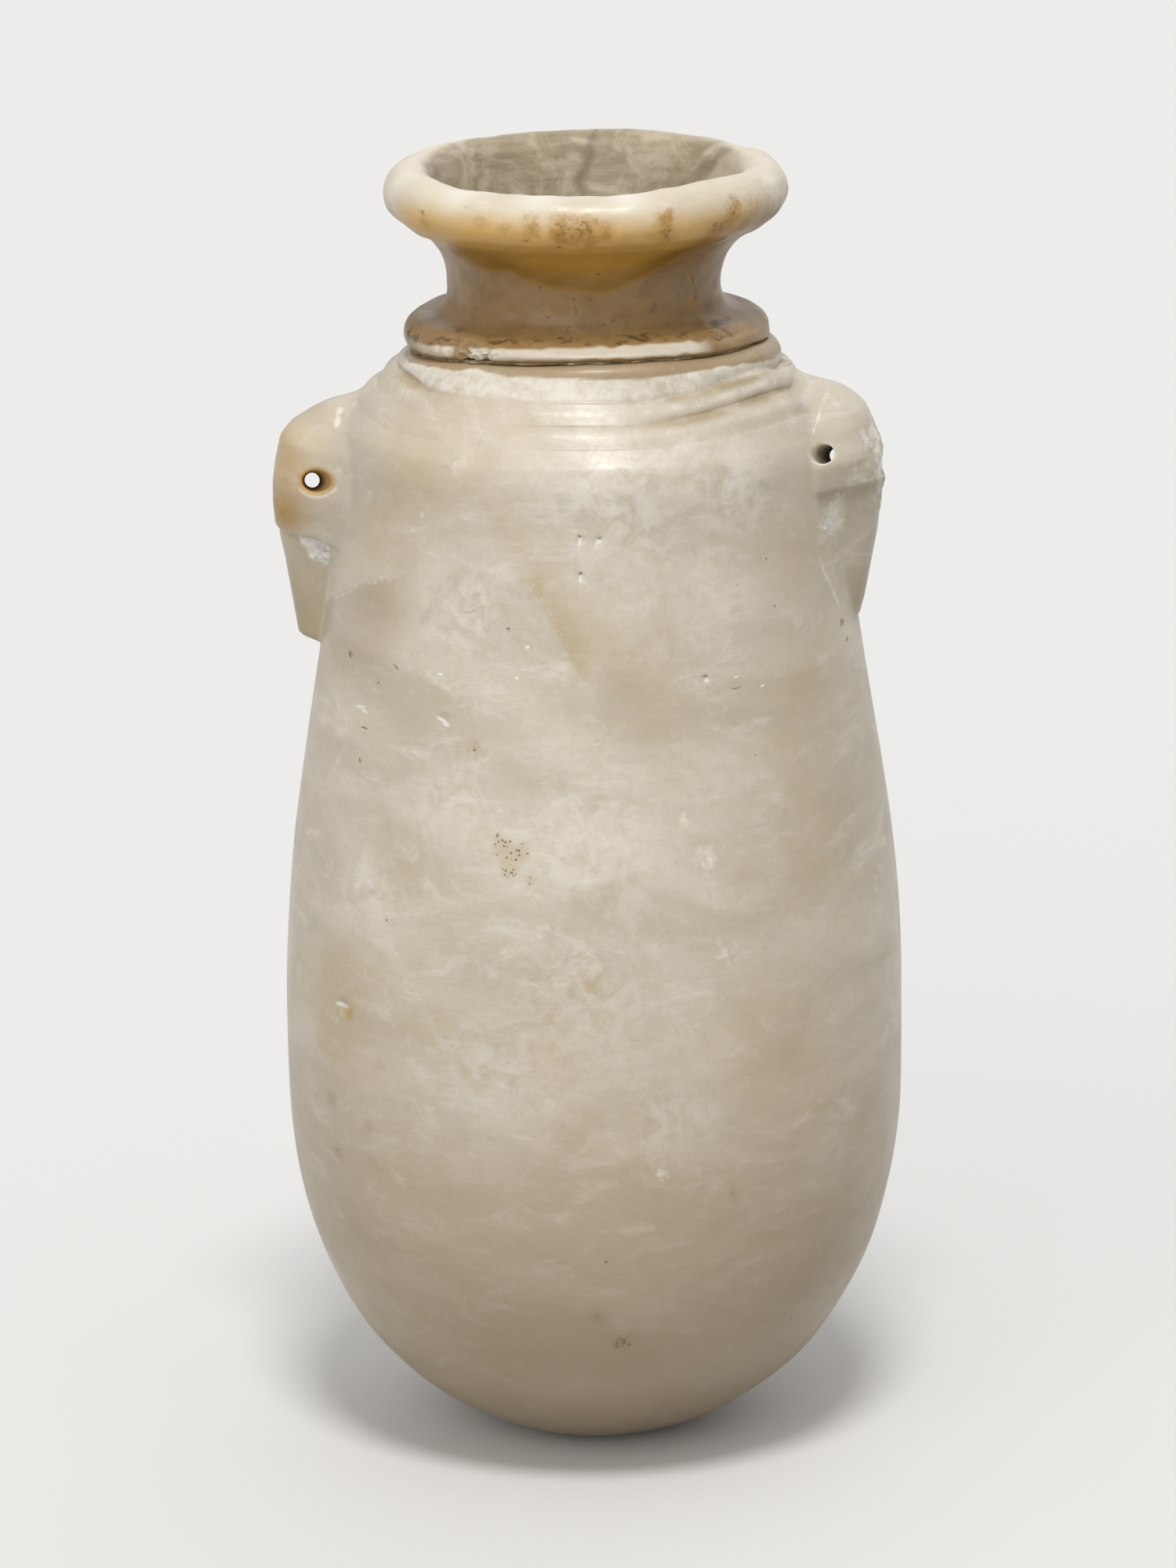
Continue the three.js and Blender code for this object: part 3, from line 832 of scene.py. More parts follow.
# Ovals on the left lug with place, half width and half height, the second of them painted shade under the
# head, and the height at each azimuth of a line below which the left flank is darker
LEFT_HEAD = (-57, 183, 8, 11)
LEFT_UNDERSIDE_SHADE = (-57, 174.5, 6, 3.6)
DARKER_BELOW_HEIGHTS = [(-84, 157), (-56, 165.4), (-42, 169.2), (-34, 171.5)]


def oval(points, right, height, half_width, half_height):
    return hump(points[:, 0] - right, half_width) * hump(points[:, 2] - height, half_height)


def lug_paint(points, radii, azimuths):
    """The two bores with painted light on their walls, a painted highlight under the left hole, warm stone on
    the left head, painted shade under the ledges and on the tails, and a darker zone on the left flank.
    """
    heights = points[:, 2]
    depths, left_gap = depth_and_gap(points, LEFT_LUG)
    _, right_gap = depth_and_gap(points, RIGHT_LUG)
    left_wall = smooth_step(0.9, 0.1, left_gap)
    right_wall = smooth_step(0.45, 0.05, right_gap)
    # Painted highlight on the lower rim of the left hole's front mouth
    crescent_highlight = rise_and_fall(left_gap, 0.25, 0.6, 0.8, 1.3) * (depths < 0)
    crescent_highlight *= smooth_step(0.4, 1.8, hole_course(LEFT_LUG, depths)[1] - heights)
    left_head = oval(points, *LEFT_HEAD)
    # Painted shade under the left lug's head, amber and brown with dark specks
    left_underside_shade = oval(points, *LEFT_UNDERSIDE_SHADE)
    # Painted shadow under the right lug's ledge
    right_ledge_shadow = rise_and_fall(heights, 177.4, 180.8, 181.3, 181.9) * (points[:, 0] > 42.6)
    # The left flank is painted darker below this line
    line_height = np.interp(azimuths, *zip(*DARKER_BELOW_HEIGHTS))
    below_line = rise_and_fall(heights - line_height, -26, -4, -0.2, 0.4)
    below_line *= rise_and_fall(azimuths, -100, -88, -48, -36) * (radii < 52)
    # Painted shade on the lug tails, which face down
    tail_shade = smooth_step(0.1, 0.9, radii - body_radius(heights)) * smooth_step(172, 156, heights)
    return {
        "bore": np.maximum(left_wall, right_wall),
        # Painted light on the wall of the right hole, and a painted highlight under the left hole
        "pale": np.maximum(crescent_highlight, 0.7 * right_wall),
        # Amber: painted glow on the wall of the left hole, warm stone on the left head, and painted shade
        # under the left lug
        "amber": np.maximum.reduce([0.9 * left_wall, 0.6 * left_head, 0.8 * left_underside_shade]),
        "brown": 0.7 * left_underside_shade,
        "stain": 0.55 * left_underside_shade,
        "shade": np.maximum.reduce([0.6 * below_line, tail_shade, 0.7 * right_ledge_shadow, left_underside_shade]),
    }


def paint_body(piece):
    points = vertex_array(piece)
    radii = radii_of(points)
    heights = points[:, 2]
    azimuths = azimuths_of(points)
    throat = (radii < MOUTH_BORE_RADIUS + 1.5) & (heights > CEILING_BOTTOM)
    hollow = (heights > FLOOR_THICKNESS - 1) & (heights < SHOULDER_HEIGHT)
    hollow &= radii < body_radius(heights) - BELLY_WALL / 2
    inside = (throat | hollow) * 1.0
    marks = {name: blots(points, table) for name, table in BODY_BLOTS.items()}
    lines = {name: strokes(points, table) for name, table in BODY_STROKES.items()}
    set_shares(piece, marks, lines, collar_paint(points, radii, azimuths), lug_paint(points, radii, azimuths),
               {"inner": inside, "bore": inside})


def vase_body():
    azimuths = column_angles(with_lugs=True)
    outer = grid_points(outer_rows(), azimuths)
    worn_collar(outer, azimuths)
    ridges_followed(outer, azimuths)
    joint_followed(outer, azimuths)
    for lug in LUGS:
        with_lug(outer, azimuths, lug)
    carved_relief(outer[8:-8], 0.12, 26, 11)
    edge_share = worn_edge_share(outer)
    carved_relief(outer, 0.28, 5, 15, edge_share)
    carved_relief(outer, 0.12, 1.8, 16, edge_share)
    dented(outer, BODY_DENTS, 0.2, 12)
    dented(outer, FRACTURE_DENTS, 0.25, 13)
    dented(outer, RIGHT_EDGE_DENTS, 0.6, 14)
    inner = grid_points(inner_rows(), azimuths)[1:]
    piece = closed_grid("vase_body", np.concatenate((outer, inner)))
    for lug in LUGS:
        drilled(piece, lug)
    for lug in LUGS:
        worn_hole_edges(piece, lug)
    piece.data.shade_smooth()
    paint_body(piece)
    return piece


# Neck and rim
NECK_LEAN = -0.6
NOSE_RISE = 2.3
NECK_SHIFTS = [(FLANGE_BOTTOM + 0.3, 0), (FLANGE_BOTTOM + 1.6, -0.5), (CAVETTO_BOTTOM, -0.9),
               (CAVETTO_BOTTOM + 10, -0.7), (LIP_CENTRE_HEIGHT, -0.3)]
RIM_DROP_SHARES = [(-180, 0), (-90, 0.1), (-40, 0.5), (0, 0.6), (25, 0.2), (45, -0.5), (70, -0.2), (110, 0)]
FLANGE_DENTS = [
    (-19.8, 208.6, 2.6, 1.3), (-16.6, 208, 2.2, 1), (-22.8, 209, 2.2, 0.8), (-13.6, 208.8, 1.6, 0.5),
    (-31.4, 209, 0.9, 0.7), (-25.5, 208.6, 1.4, 0.4),
]
RIM_DENTS = [
    (34.3, 234.6, 2.4, 0.25), (32.6, 236.3, 2.2, 0.25), (-8, 230.6, 2.4, 0.2), (0.5, 230.2, 2.2, 0.2),
]


def neck_rows():
    nose_radius = FLANGE_RADIUS - FLANGE_NOSE_WIDTH
    spigot_bottom = FLANGE_BOTTOM - SPIGOT_LENGTH
    lip_centre_radius = LIP_RADIUS - LIP_ROLL_RADIUS
    flange = ridge(FLANGE_RADIUS, nose_radius, FLANGE_BOTTOM, FLANGE_TOP)
    neck_foot = arc(nose_radius, NECK_FOOT_TOP, NECK_RADIUS - nose_radius, -NECK_FOOT_HEIGHT, 90, 0)
    cavetto = arc(NECK_RADIUS + CAVETTO_WIDTH, CAVETTO_BOTTOM, -CAVETTO_WIDTH, CAVETTO_HEIGHT, 0, 72)
    lip = arc(lip_centre_radius, LIP_CENTRE_HEIGHT, LIP_ROLL_RADIUS, LIP_ROLL_HALF_HEIGHT,
              LIP_START_ANGLE, LIP_END_ANGLE)
    return joined(
        *legs(SEAT_SPACING * 2, (THROAT_RADIUS, spigot_bottom), (SPIGOT_RADIUS, spigot_bottom),
              (SPIGOT_RADIUS, FLANGE_BOTTOM)),
        *legs(SEAT_SPACING, (SPIGOT_RADIUS, FLANGE_BOTTOM), flange[0]),
        (flange, COLLAR_SPACING),
        (neck_foot, LIP_SPACING),
        *legs(LIP_SPACING, (NECK_RADIUS, NECK_FOOT_TOP), (NECK_RADIUS, CAVETTO_BOTTOM)),
        (np.vstack((cavetto, lip)), LIP_SPACING),
        *legs(SEAT_SPACING, lip[-1], (THROAT_RADIUS, FUNNEL_BOTTOM)),
        *legs(SEAT_SPACING * 2, (THROAT_RADIUS, FUNNEL_BOTTOM), (THROAT_RADIUS, spigot_bottom)),
    )


# Edges of the neck's colours at each azimuth, among them the lower edge of the painted glow under the lip,
# and how brightly the painted highlight on the nose of the flange shows
FUNNEL_EDGE_RADII = [
    (-180, 32.6), (-135, 32.2), (-105, 29.8), (-85, 29), (-50, 29.4), (0, 30), (50, 28.6), (85, 27.4),
    (105, 28.6), (140, 32.2),
]
AMBER_EDGE_HEIGHTS = [
    (-180, 229), (-80, 227.8), (-62, 225.2), (-56, 222.6), (-47, 222.2), (-36, 222.4), (-27, 222.6),
    (-20, 221), (-12, 220), (-4, 219.5), (8, 219.2), (16, 219.4), (24, 220.3), (31, 222.4), (36, 224),
    (43, 225.6), (52, 227.2), (66, 228.8),
]
LIT_NOSE_SHARES = [
    (-180, 0.1), (-66, 0.1), (-58, 0.8), (-45, 0.9), (-42, 0.1), (-37, 0.1), (-35, 1), (-10, 0.8),
    (20, 0.9), (40, 1), (48, 0.1),
]


# Soft spots and crisp specks of the neck, given as on the body
NECK_BLOTS = {
    "stain": [
        (-27.1, 232.2, 2.8, 0.6), (-16.2, 233, 2.4, 0.45), (-11.2, 232, 2, 0.5), (-6.6, 232.6, 2.8, 0.7),
        (-1.5, 232.4, 3, 1), (2.4, 232.2, 3.4, 1), (6.4, 232.2, 2.6, 0.65), (16.8, 233.6, 2.6, 0.8),
        (16.6, 231.2, 3, 0.95), (25.4, 231.2, 3.6, 1), (27.8, 233.8, 2.8, 0.85), (31, 233.4, 2.8, 0.6),
        (-22.1, 217.2, 2.6, 0.4), (20, 219.6, 1.8, 0.6), (19.8, 215.8, 1.8, 0.6), (-5.2, 215, 1.6, 0.4),
        (-31.2, 208.6, 1.2, 1),
    ],
    # The pale spots on the lip are painted highlights
    "pale": [
        (-33.6, 236, 3.4, 0.8), (34, 236.2, 3, 0.7), (-6, 237.4, 3.8, 0.8), (10, 237.6, 3.8, 0.8),
        (-20, 237.2, 3.8, 0.8),
    ],
    "crystal": [(-27, 208, 1.6, 0.3), (33, 235.4, 2.6, 0.35), (31.4, 236.6, 2.2, 0.3)],
}
NECK_SPECKS = [
    (-0.5, 217.8, 0.35, 0.3, 0), (-0.2, 215.8, 0.15, 1.2, 12), (4, 222.6, 0.4, 0.3, 0),
    (-6.6, 219.8, 0.3, 0.4, 30), (-5.2, 214.4, 0.4, 0.25, 0), (6.4, 213.8, 0.7, 0.2, 20),
    (4.6, 213.2, 0.3, 0.3, 0), (19.9, 219.6, 0.3, 1.1, 8), (20.4, 216.2, 0.3, 1.1, -8),
    (-2, 229, 0.6, 0.2, 0), (-8, 230.2, 0.5, 0.25, 0), (12, 211, 0.9, 0.18, 5), (18.6, 211, 0.8, 0.15, 10),
    (-21.6, 211, 0.9, 0.18, 15), (-14, 210.6, 0.8, 0.15, 5), (2.4, 210.6, 0.7, 0.15, 0),
    (-27.4, 233.2, 0.25, 0.35, 0),
]


def funnel_share(points, radii, azimuths):
    """The throat and the funnel, up to an uneven edge on top of the lip."""
    heights = points[:, 2]
    edge = around(azimuths, FUNNEL_EDGE_RADII) + 0.25 * waves(points, 6, 22) + 0.15 * waves(points, 2, 23)
    levels = (CAVETTO_BOTTOM, LIP_CENTRE_HEIGHT - 3, LIP_CENTRE_HEIGHT + 3)
    spare = np.interp(heights, levels, (1.5, 1.8, 5.5))
    in_funnel = (heights > CAVETTO_BOTTOM) & (radii < THROAT_RADIUS + 0.5 * (heights - FUNNEL_BOTTOM) + spare)
    funnel = in_funnel * smooth_step(1.3, -1.3, radii - edge)
    return np.maximum(funnel, (radii < NECK_RADIUS - 2) * (heights < LIP_CENTRE_HEIGHT))


def funnel_paint(points, inside):
    """A dark vein and a pale band with a dark border on the back wall of the funnel."""
    right, depths, heights = points.T
    back = inside * (depths > 0)
    vein = right - np.interp(heights, (228, 237), (-3.2, -1.8)) - 0.6 * waves(points, 4, 27)
    band = right - np.interp(heights, (228, 238), (15, 24)) - 0.6 * waves(points, 5, 28)
    return {
        "vein": np.maximum(hump(vein, 1), 0.7 * hump(band, 1.1)) * back,
        "light_band": rise_and_fall(band, 0.5, 2.5, 6, 14) * back,
    }


def outside_paint(points, radii, azimuths, outside):
    """Gold and amber under the lip, a painted glow of light through the lip, olive at the amber's lower edge,
    the brown shaft, partly painted shade, and the painted highlight on the lit nose.
    """
    heights = points[:, 2]
    joint = FLANGE_BOTTOM + around(azimuths, JOINT_RISE)
    nose = joint + NOSE_RISE + 0.15 * waves(points, 4, 24)
    # Painted highlight on the lit nose of the flange
    on_nose = rise_and_fall(heights - nose, -2.1, -1.5, -0.25, 0.25) * (radii > NECK_RADIUS + 3)
    on_nose *= around(azimuths, LIT_NOSE_SHARES)
    seam = hump(heights - nose - 0.9 - 0.5 * waves(points, 5, 25), 0.5) * (np.abs(azimuths) < 75)
    seam *= (radii > NECK_RADIUS + 2) * (heights < NECK_FOOT_TOP) * (0.75 + 0.4 * waves(points, 7, 26))
    edge = around(azimuths, AMBER_EDGE_HEIGHTS) + 0.3 * waves(points, 9, 21) + 0.15 * waves(points, 2.5, 20)
    above_edge = heights - edge
    zone = smooth_step(-0.9, 0.9, above_edge) * outside
    in_front = smooth_step(80, 50, np.abs(azimuths))
    return {
        # Painted glow of light through the lip: gold on the front of the lip, amber under it and olive at its
        # lower edge
        "gold": zone * rise_and_fall(heights, 225, 228.5, 230.8, 236.6) * in_front,
        "amber": zone * smooth_step(231.5, 225.5, heights),
        "olive": zone * smooth_step(6.5, 0.5, above_edge),
        # The shaft's brown is partly the stone's own colour and partly painted shade under the lip
        "shaft": smooth_step(3, 1, above_edge) * (1 - 0.5 * on_nose) * outside,
        "dirt": np.maximum(0.85 * seam, 0.3 * hump(heights - joint, 0.35)) * outside,
        "pale": 0.65 * on_nose * (heights < FLANGE_TOP),
    }


def paint_neck(piece):
    points = vertex_array(piece)
    radii = np.hypot(points[:, 0] - NECK_LEAN, points[:, 1])
    azimuths = azimuths_of(points)
    inside = funnel_share(points, radii, azimuths)
    marks = {name: blots(points, table) for name, table in NECK_BLOTS.items()}
    set_shares(piece, marks, funnel_paint(points, inside), outside_paint(points, radii, azimuths, 1 - inside),
               {"inner": inside})


def vase_neck():
    azimuths = column_angles(with_lugs=False)
    points = grid_points(neck_rows(), azimuths)
    levels, shifts = zip(*NECK_SHIFTS)
    points[..., 0] += np.interp(points[..., 2], levels, shifts) * (radii_of(points) > SPIGOT_RADIUS + 0.5)
    on_lip = smooth_step(LIP_CENTRE_HEIGHT - LIP_ROLL_HALF_HEIGHT, LIP_CENTRE_HEIGHT, points[..., 2])
    points[..., 2] -= around(azimuths, RIM_DROP_SHARES)[None, :] * on_lip
    joint_followed(points, azimuths)
    above_seat = smooth_step(FLANGE_BOTTOM + 0.5, FLANGE_BOTTOM + 3, points[..., 2])
    swells = 0.16 * waves(points, 17, 31) + 0.05 * waves(points, 5, 32)
    points += grid_normals(points) * (above_seat * swells)[..., None]
    dented(points, FLANGE_DENTS, 0.5, 33)
    dented(points, RIM_DENTS, 0.4, 34)
    piece = ring_grid("vase_neck", points)
    paint_neck(piece)
    return piece


# Mortar that fills the joint, squeezed out a little and dirty
def mortar_rows():
    bead_radius = MOUTH_FACE_RADIUS - 0.1
    sleeve_bottom = MOUTH_HEIGHT - SLEEVE_LENGTH
    half = JOINT_HEIGHT / 2
    return joined(
        *legs(SEAT_SPACING, (SPIGOT_RADIUS, sleeve_bottom), (MOUTH_BORE_RADIUS, sleeve_bottom),
              (MOUTH_BORE_RADIUS, MOUTH_HEIGHT), (bead_radius, MOUTH_HEIGHT)),
        (arc(bead_radius, MOUTH_HEIGHT + half, half, half, -90, 90), COLLAR_SPACING),
        *legs(SEAT_SPACING, (bead_radius, FLANGE_BOTTOM), (SPIGOT_RADIUS, FLANGE_BOTTOM),
              (SPIGOT_RADIUS, sleeve_bottom)),
    )


def vase_mortar():
    azimuths = column_angles(with_lugs=False)
    points = grid_points(mortar_rows(), azimuths)
    joint_followed(points, azimuths)
    radii = radii_of(points)
    at_bead = smooth_step(MOUTH_FACE_RADIUS - 3, MOUTH_FACE_RADIUS, radii)
    push = 1 + at_bead * (0.35 * waves(points, 6, 41) + 0.15 * waves(points, 2, 42)) / radii
    points[..., :2] *= push[..., None]
    return ring_grid("vase_mortar", points)


# Materials
class Shader:
    """A node tree under construction and the stone's colour and relief so far."""

    def __init__(self, name):
        self.material = bpy.data.materials.new(name)
        self.material.use_nodes = True
        self.tree = self.material.node_tree
        self.surface = self.tree.nodes["Principled BSDF"]
        self.place = self.add("TexCoord", {})["Object"]
        self.colour = None
        self.normal = None

    def add(self, kind, inputs, **settings):
        """Adds a node and returns its outputs."""
        node = self.tree.nodes.new("ShaderNode" + kind)
        for key, value in settings.items():
            setattr(node, key, value)
        self.fill(node, inputs)
        return node.outputs

    def fill(self, node, inputs):
        for key, value in inputs.items():
            socket = node.inputs[key]
            if isinstance(value, bpy.types.NodeSocket):
                self.tree.links.new(value, socket)
            elif socket.type == "RGBA":
                socket.default_value = (*value, 1)
            else:
                socket.default_value = value

    def finish(self, inputs):
        """Gives the stone its colour, relief and other settings and returns the material."""
        self.fill(self.surface, {"Base Color": self.colour, "Normal": self.normal, **inputs})
        return self.material

    def math(self, operation, first, second):
        return self.add("Math", {0: first, 1: second}, operation=operation)[0]

    def times(self, first, second):
        return self.math("MULTIPLY", first, second)

    def vector(self, operation, *inputs):
        return self.add("VectorMath", dict(enumerate(inputs)), operation=operation)

    def axis(self, name):
        return self.add("SeparateXYZ", {"Vector": self.place})[name]

    def ramp(self, value, low, high, start=0.0, end=1.0):
        inputs = {"Value": value, "From Min": low, "From Max": high, "To Min": start, "To Max": end}
        return self.add("MapRange", inputs, interpolation_type="SMOOTHSTEP")["Result"]

    def mix(self, share, first, second):
        return self.add("Mix", {0: share, 6: first, 7: second}, data_type="RGBA")[2]

    def cover(self, tint, share, strength=1.0):
        """Lays a tint over the colour so far, as strongly as the share says."""
        self.colour = self.mix(self.times(share, strength), self.colour, tint)

    def stretched(self, scale, turn=(0, 0, 0)):
        angles = tuple(math.radians(angle) for angle in turn)
        return self.add("Mapping", {"Vector": self.place, "Scale": scale, "Rotation": angles})[0]

    def noise(self, size, detail, roughness=0.5, distortion=0.0, source=None):
        """Noise with features of about the given size in millimetres."""
        return self.add("TexNoise", {
            "Vector": source or self.place, "Scale": 1 / (size * MM), "Detail": detail,
            "Roughness": roughness, "Distortion": distortion})["Fac"]

    def cells(self, size):
        return self.add("TexVoronoi", {"Vector": self.place, "Scale": 1 / (size * MM)})

    def painted(self, name):
        return self.add("Attribute", {}, attribute_name=name)["Fac"]

    def speckled(self, painted, size, low, high, contrast=1.0):
        """A painted area broken up by fine noise, so that it reads as specks."""
        grain = self.times(self.noise(size, 6, 0.7), contrast)
        return self.ramp(self.math("ADD", self.times(painted, 0.5), grain), low, high)

    def spots(self, marks):
        """Crisp, slightly ragged ovals on the front; each has its place, half sizes and turn."""
        ragged = self.add("TexNoise", {"Vector": self.place, "Scale": 1 / MM, "Detail": 2.0})["Color"]
        warp = self.vector("MULTIPLY_ADD", ragged, (0.6 * MM,) * 3, self.place)[0]
        front = self.vector("MULTIPLY_ADD", warp, (1, 0, 1), (-0.3 * MM, 0, -0.3 * MM))[0]
        total = 0.0
        for right, height, half_width, half_height, turn in marks:
            place = self.add("Mapping", {
                "Vector": front, "Location": (right * MM, 0, height * MM),
                "Rotation": (0, math.radians(-turn), 0),
                "Scale": (half_width * MM, 1, half_height * MM)}, vector_type="TEXTURE")[0]
            away = self.vector("LENGTH", place)["Value"]
            total = self.math("MAXIMUM", total, self.ramp(away, 1.25, 0.55))
        return self.times(total, self.ramp(self.axis("Y"), 0, -2 * MM))

    def bump(self, height, distance):
        inputs = {"Height": height, "Distance": distance * MM}
        if self.normal is not None:
            inputs["Normal"] = self.normal
        self.normal = self.add("Bump", inputs)[0]


IVORY = linear(222, 213, 196)
CLOUD = linear(236, 230, 219)
BEIGE = linear(200, 183, 150)
GREY_BEIGE = linear(202, 192, 172)
TAN = linear(194, 172, 128)
DEEP_TAN = linear(166, 143, 102)
GOLD = linear(222, 178, 92)
AMBER = linear(196, 148, 48)
OLIVE_AMBER = linear(124, 86, 22)
OCHRE = linear(180, 132, 46)
UMBER = linear(118, 84, 40)
CRYSTAL_WHITE = linear(250, 248, 244)
BROWN = linear(92, 66, 32)
WHITE_STONE = linear(244, 239, 226)
INNER_STONE = linear(172, 158, 130)
INNER_SHADE = linear(126, 110, 82)
INNER_PALE = linear(204, 191, 166)
INNER_LIGHT = linear(206, 190, 166)
DIRT = linear(86, 66, 38)
LIP_CREAM = linear(236, 224, 196)
NECK_BROWN = linear(150, 115, 60)
MORTAR = linear(166, 146, 110)
STUDIO_GREY = linear(232, 231, 228)
FLOOR_BOUNCE = linear(150, 146, 140)

BEDDING_TURN = (8, 41, 14)
FACET_SIZE = 1.1
STONE_GLOW = 0.35
BORE_GLOW = 0.7


def clouded(shader):
    """Cloudy travertine: soft clouds, white wisps along the bedding and a web of fine fibres."""
    bedding = shader.stretched((1, 0.6, 2), BEDDING_TURN)
    clouds = shader.ramp(shader.noise(34, 6, 0.6, 0.8, bedding), 0.32, 0.68)
    shader.colour = shader.mix(clouds, GREY_BEIGE, IVORY)
    shader.cover(CLOUD, shader.ramp(shader.noise(9, 8, 0.66, 0.7, bedding), 0.5, 0.74), 0.75)
    shader.cover(BEIGE, shader.ramp(shader.noise(22, 7, 0.64, 0.8), 0.5, 0.78), 0.6)
    web = shader.noise(6, 9, 0.72, 1.1, bedding)
    shader.cover(BEIGE, shader.times(shader.ramp(web, 0.47, 0.5), shader.ramp(web, 0.53, 0.5)), 0.3)
    shader.cover(BEIGE, shader.ramp(shader.noise(1, 6, 0.7), 0.35, 0.65), 0.12)


def painted_foot_shade(shader):
    """Painted shade: the stone turns warmer and browner towards its foot."""
    uneven = shader.math("ADD", shader.axis("Z"), shader.times(shader.noise(40, 3), 0.04))
    shader.cover(DEEP_TAN, shader.ramp(uneven, 0.125, 0.03, 0, 0.62))


def stone_relief(shader, pit_strength):
    """Fine grain, turning marks and small dirty pits."""
    shader.bump(shader.noise(1.4, 6, 0.6), 0.05)
    shader.bump(shader.noise(1, 3, 0.6, 0, shader.stretched((0.05, 0.05, 1))), 0.045)
    pits = shader.ramp(shader.cells(4.5)["Distance"], 0.09, 0.02)
    pits = shader.times(pits, shader.ramp(shader.noise(11, 2), 0.6, 0.68))
    shader.bump(shader.times(pits, -1), 0.35)
    shader.cover(BROWN, pits, pit_strength)


def broken_faces(shader, crystal, facets):
    """Flat facets, each leaning its own way, where crystal is painted."""
    offset = shader.vector("SUBTRACT", shader.place, facets["Position"])[0]
    lean = shader.vector("SUBTRACT", facets["Color"], (0.5, 0.5, 0.5))[0]
    faces = shader.vector("DOT_PRODUCT", offset, lean)["Value"]
    shader.bump(shader.times(faces, crystal), 1.3 / MM)


def worn_polish(shader, roughness, glow):
    """Worn polish over stone that lets a little light in."""
    return shader.finish({
        "Roughness": roughness, "IOR": 1.5, "Subsurface Weight": glow,
        "Subsurface Radius": (1, 0.82, 0.6), "Subsurface Scale": 0.005})


def polish(shader):
    return shader.ramp(shader.noise(9, 4), 0.3, 0.7, 0.3, 0.42)


def body_stone():
    shader = Shader("body_stone")
    painted, ramp, times, noise = shader.painted, shader.ramp, shader.times, shader.noise
    clouded(shader)
    # painted shade towards the foot
    painted_foot_shade(shader)
    shader.cover(TAN, times(painted("warm"), ramp(noise(7, 6, 0.65), 0.3, 0.6, 0.45, 0.75)))
    # Painted shade under the ledges and on the tails, and the darker zone on the left flank
    shader.cover(DEEP_TAN, painted("shade"), 0.6)
    # Stone clouds, and painted highlights on the collar's crests and top face
    shader.cover(CLOUD, times(painted("cloud"), ramp(noise(6, 8, 0.68, 1.2), 0.36, 0.64)))
    # Painted shadow under the flange and painted shade under the left lug
    shader.cover(NECK_BROWN, painted("brown"), 0.65)
    shader.cover(INNER_STONE, painted("inner"))
    # Pale stone, with painted highlights on the crests, the top face, the lug heads and under the left hole,
    # and painted light in the right hole
    shader.cover(WHITE_STONE, shader.speckled(painted("pale"), 1.8, 0.6, 0.95), 0.85)
    # Amber stain, painted glow in the left hole and painted shade under the left lug
    shader.cover(AMBER, painted("amber"), 0.85)
    # Painted shade with some dirt in the collar's grooves
    shader.cover(DEEP_TAN, times(painted("dirt"), ramp(noise(6, 4), 0.35, 0.6, 0.25, 0.8)))
    # Stains, and painted shade where the stain share lies in the shadow band and under the left lug
    shader.cover(DEEP_TAN, shader.speckled(painted("stain"), 3, 0.55, 0.95), 0.4)
    shader.cover(BROWN, shader.speckled(painted("stain"), 0.8, 0.8, 0.98), 0.6)
    patch = ramp(painted("speckles"), 0.15, 0.8)
    dots = times(ramp(shader.cells(0.75)["Distance"], 0.42, 0.2), shader.speckled(patch, 1.6, 0.65, 0.9))
    shader.cover(TAN, patch, 0.4)
    shader.cover(UMBER, dots, 0.8)
    crystal = ramp(painted("crystal"), 0.25, 0.6)
    facets = shader.cells(FACET_SIZE)
    shader.cover(shader.mix(ramp(facets["Color"], 0.3, 0.7), WHITE_STONE, CRYSTAL_WHITE), crystal)
    stone_relief(shader, 0.5)
    broken_faces(shader, crystal, facets)
    shader.cover(CRYSTAL_WHITE, shader.spots(WHITE_CHIPS), 0.75)
    shader.cover(UMBER, shader.spots(DARK_SPECKS), 0.7)
    bore = painted("bore")
    roughness = shader.math("MAXIMUM", polish(shader), times(bore, 0.95))
    return worn_polish(shader, roughness, ramp(bore, 0, 1, STONE_GLOW, BORE_GLOW))


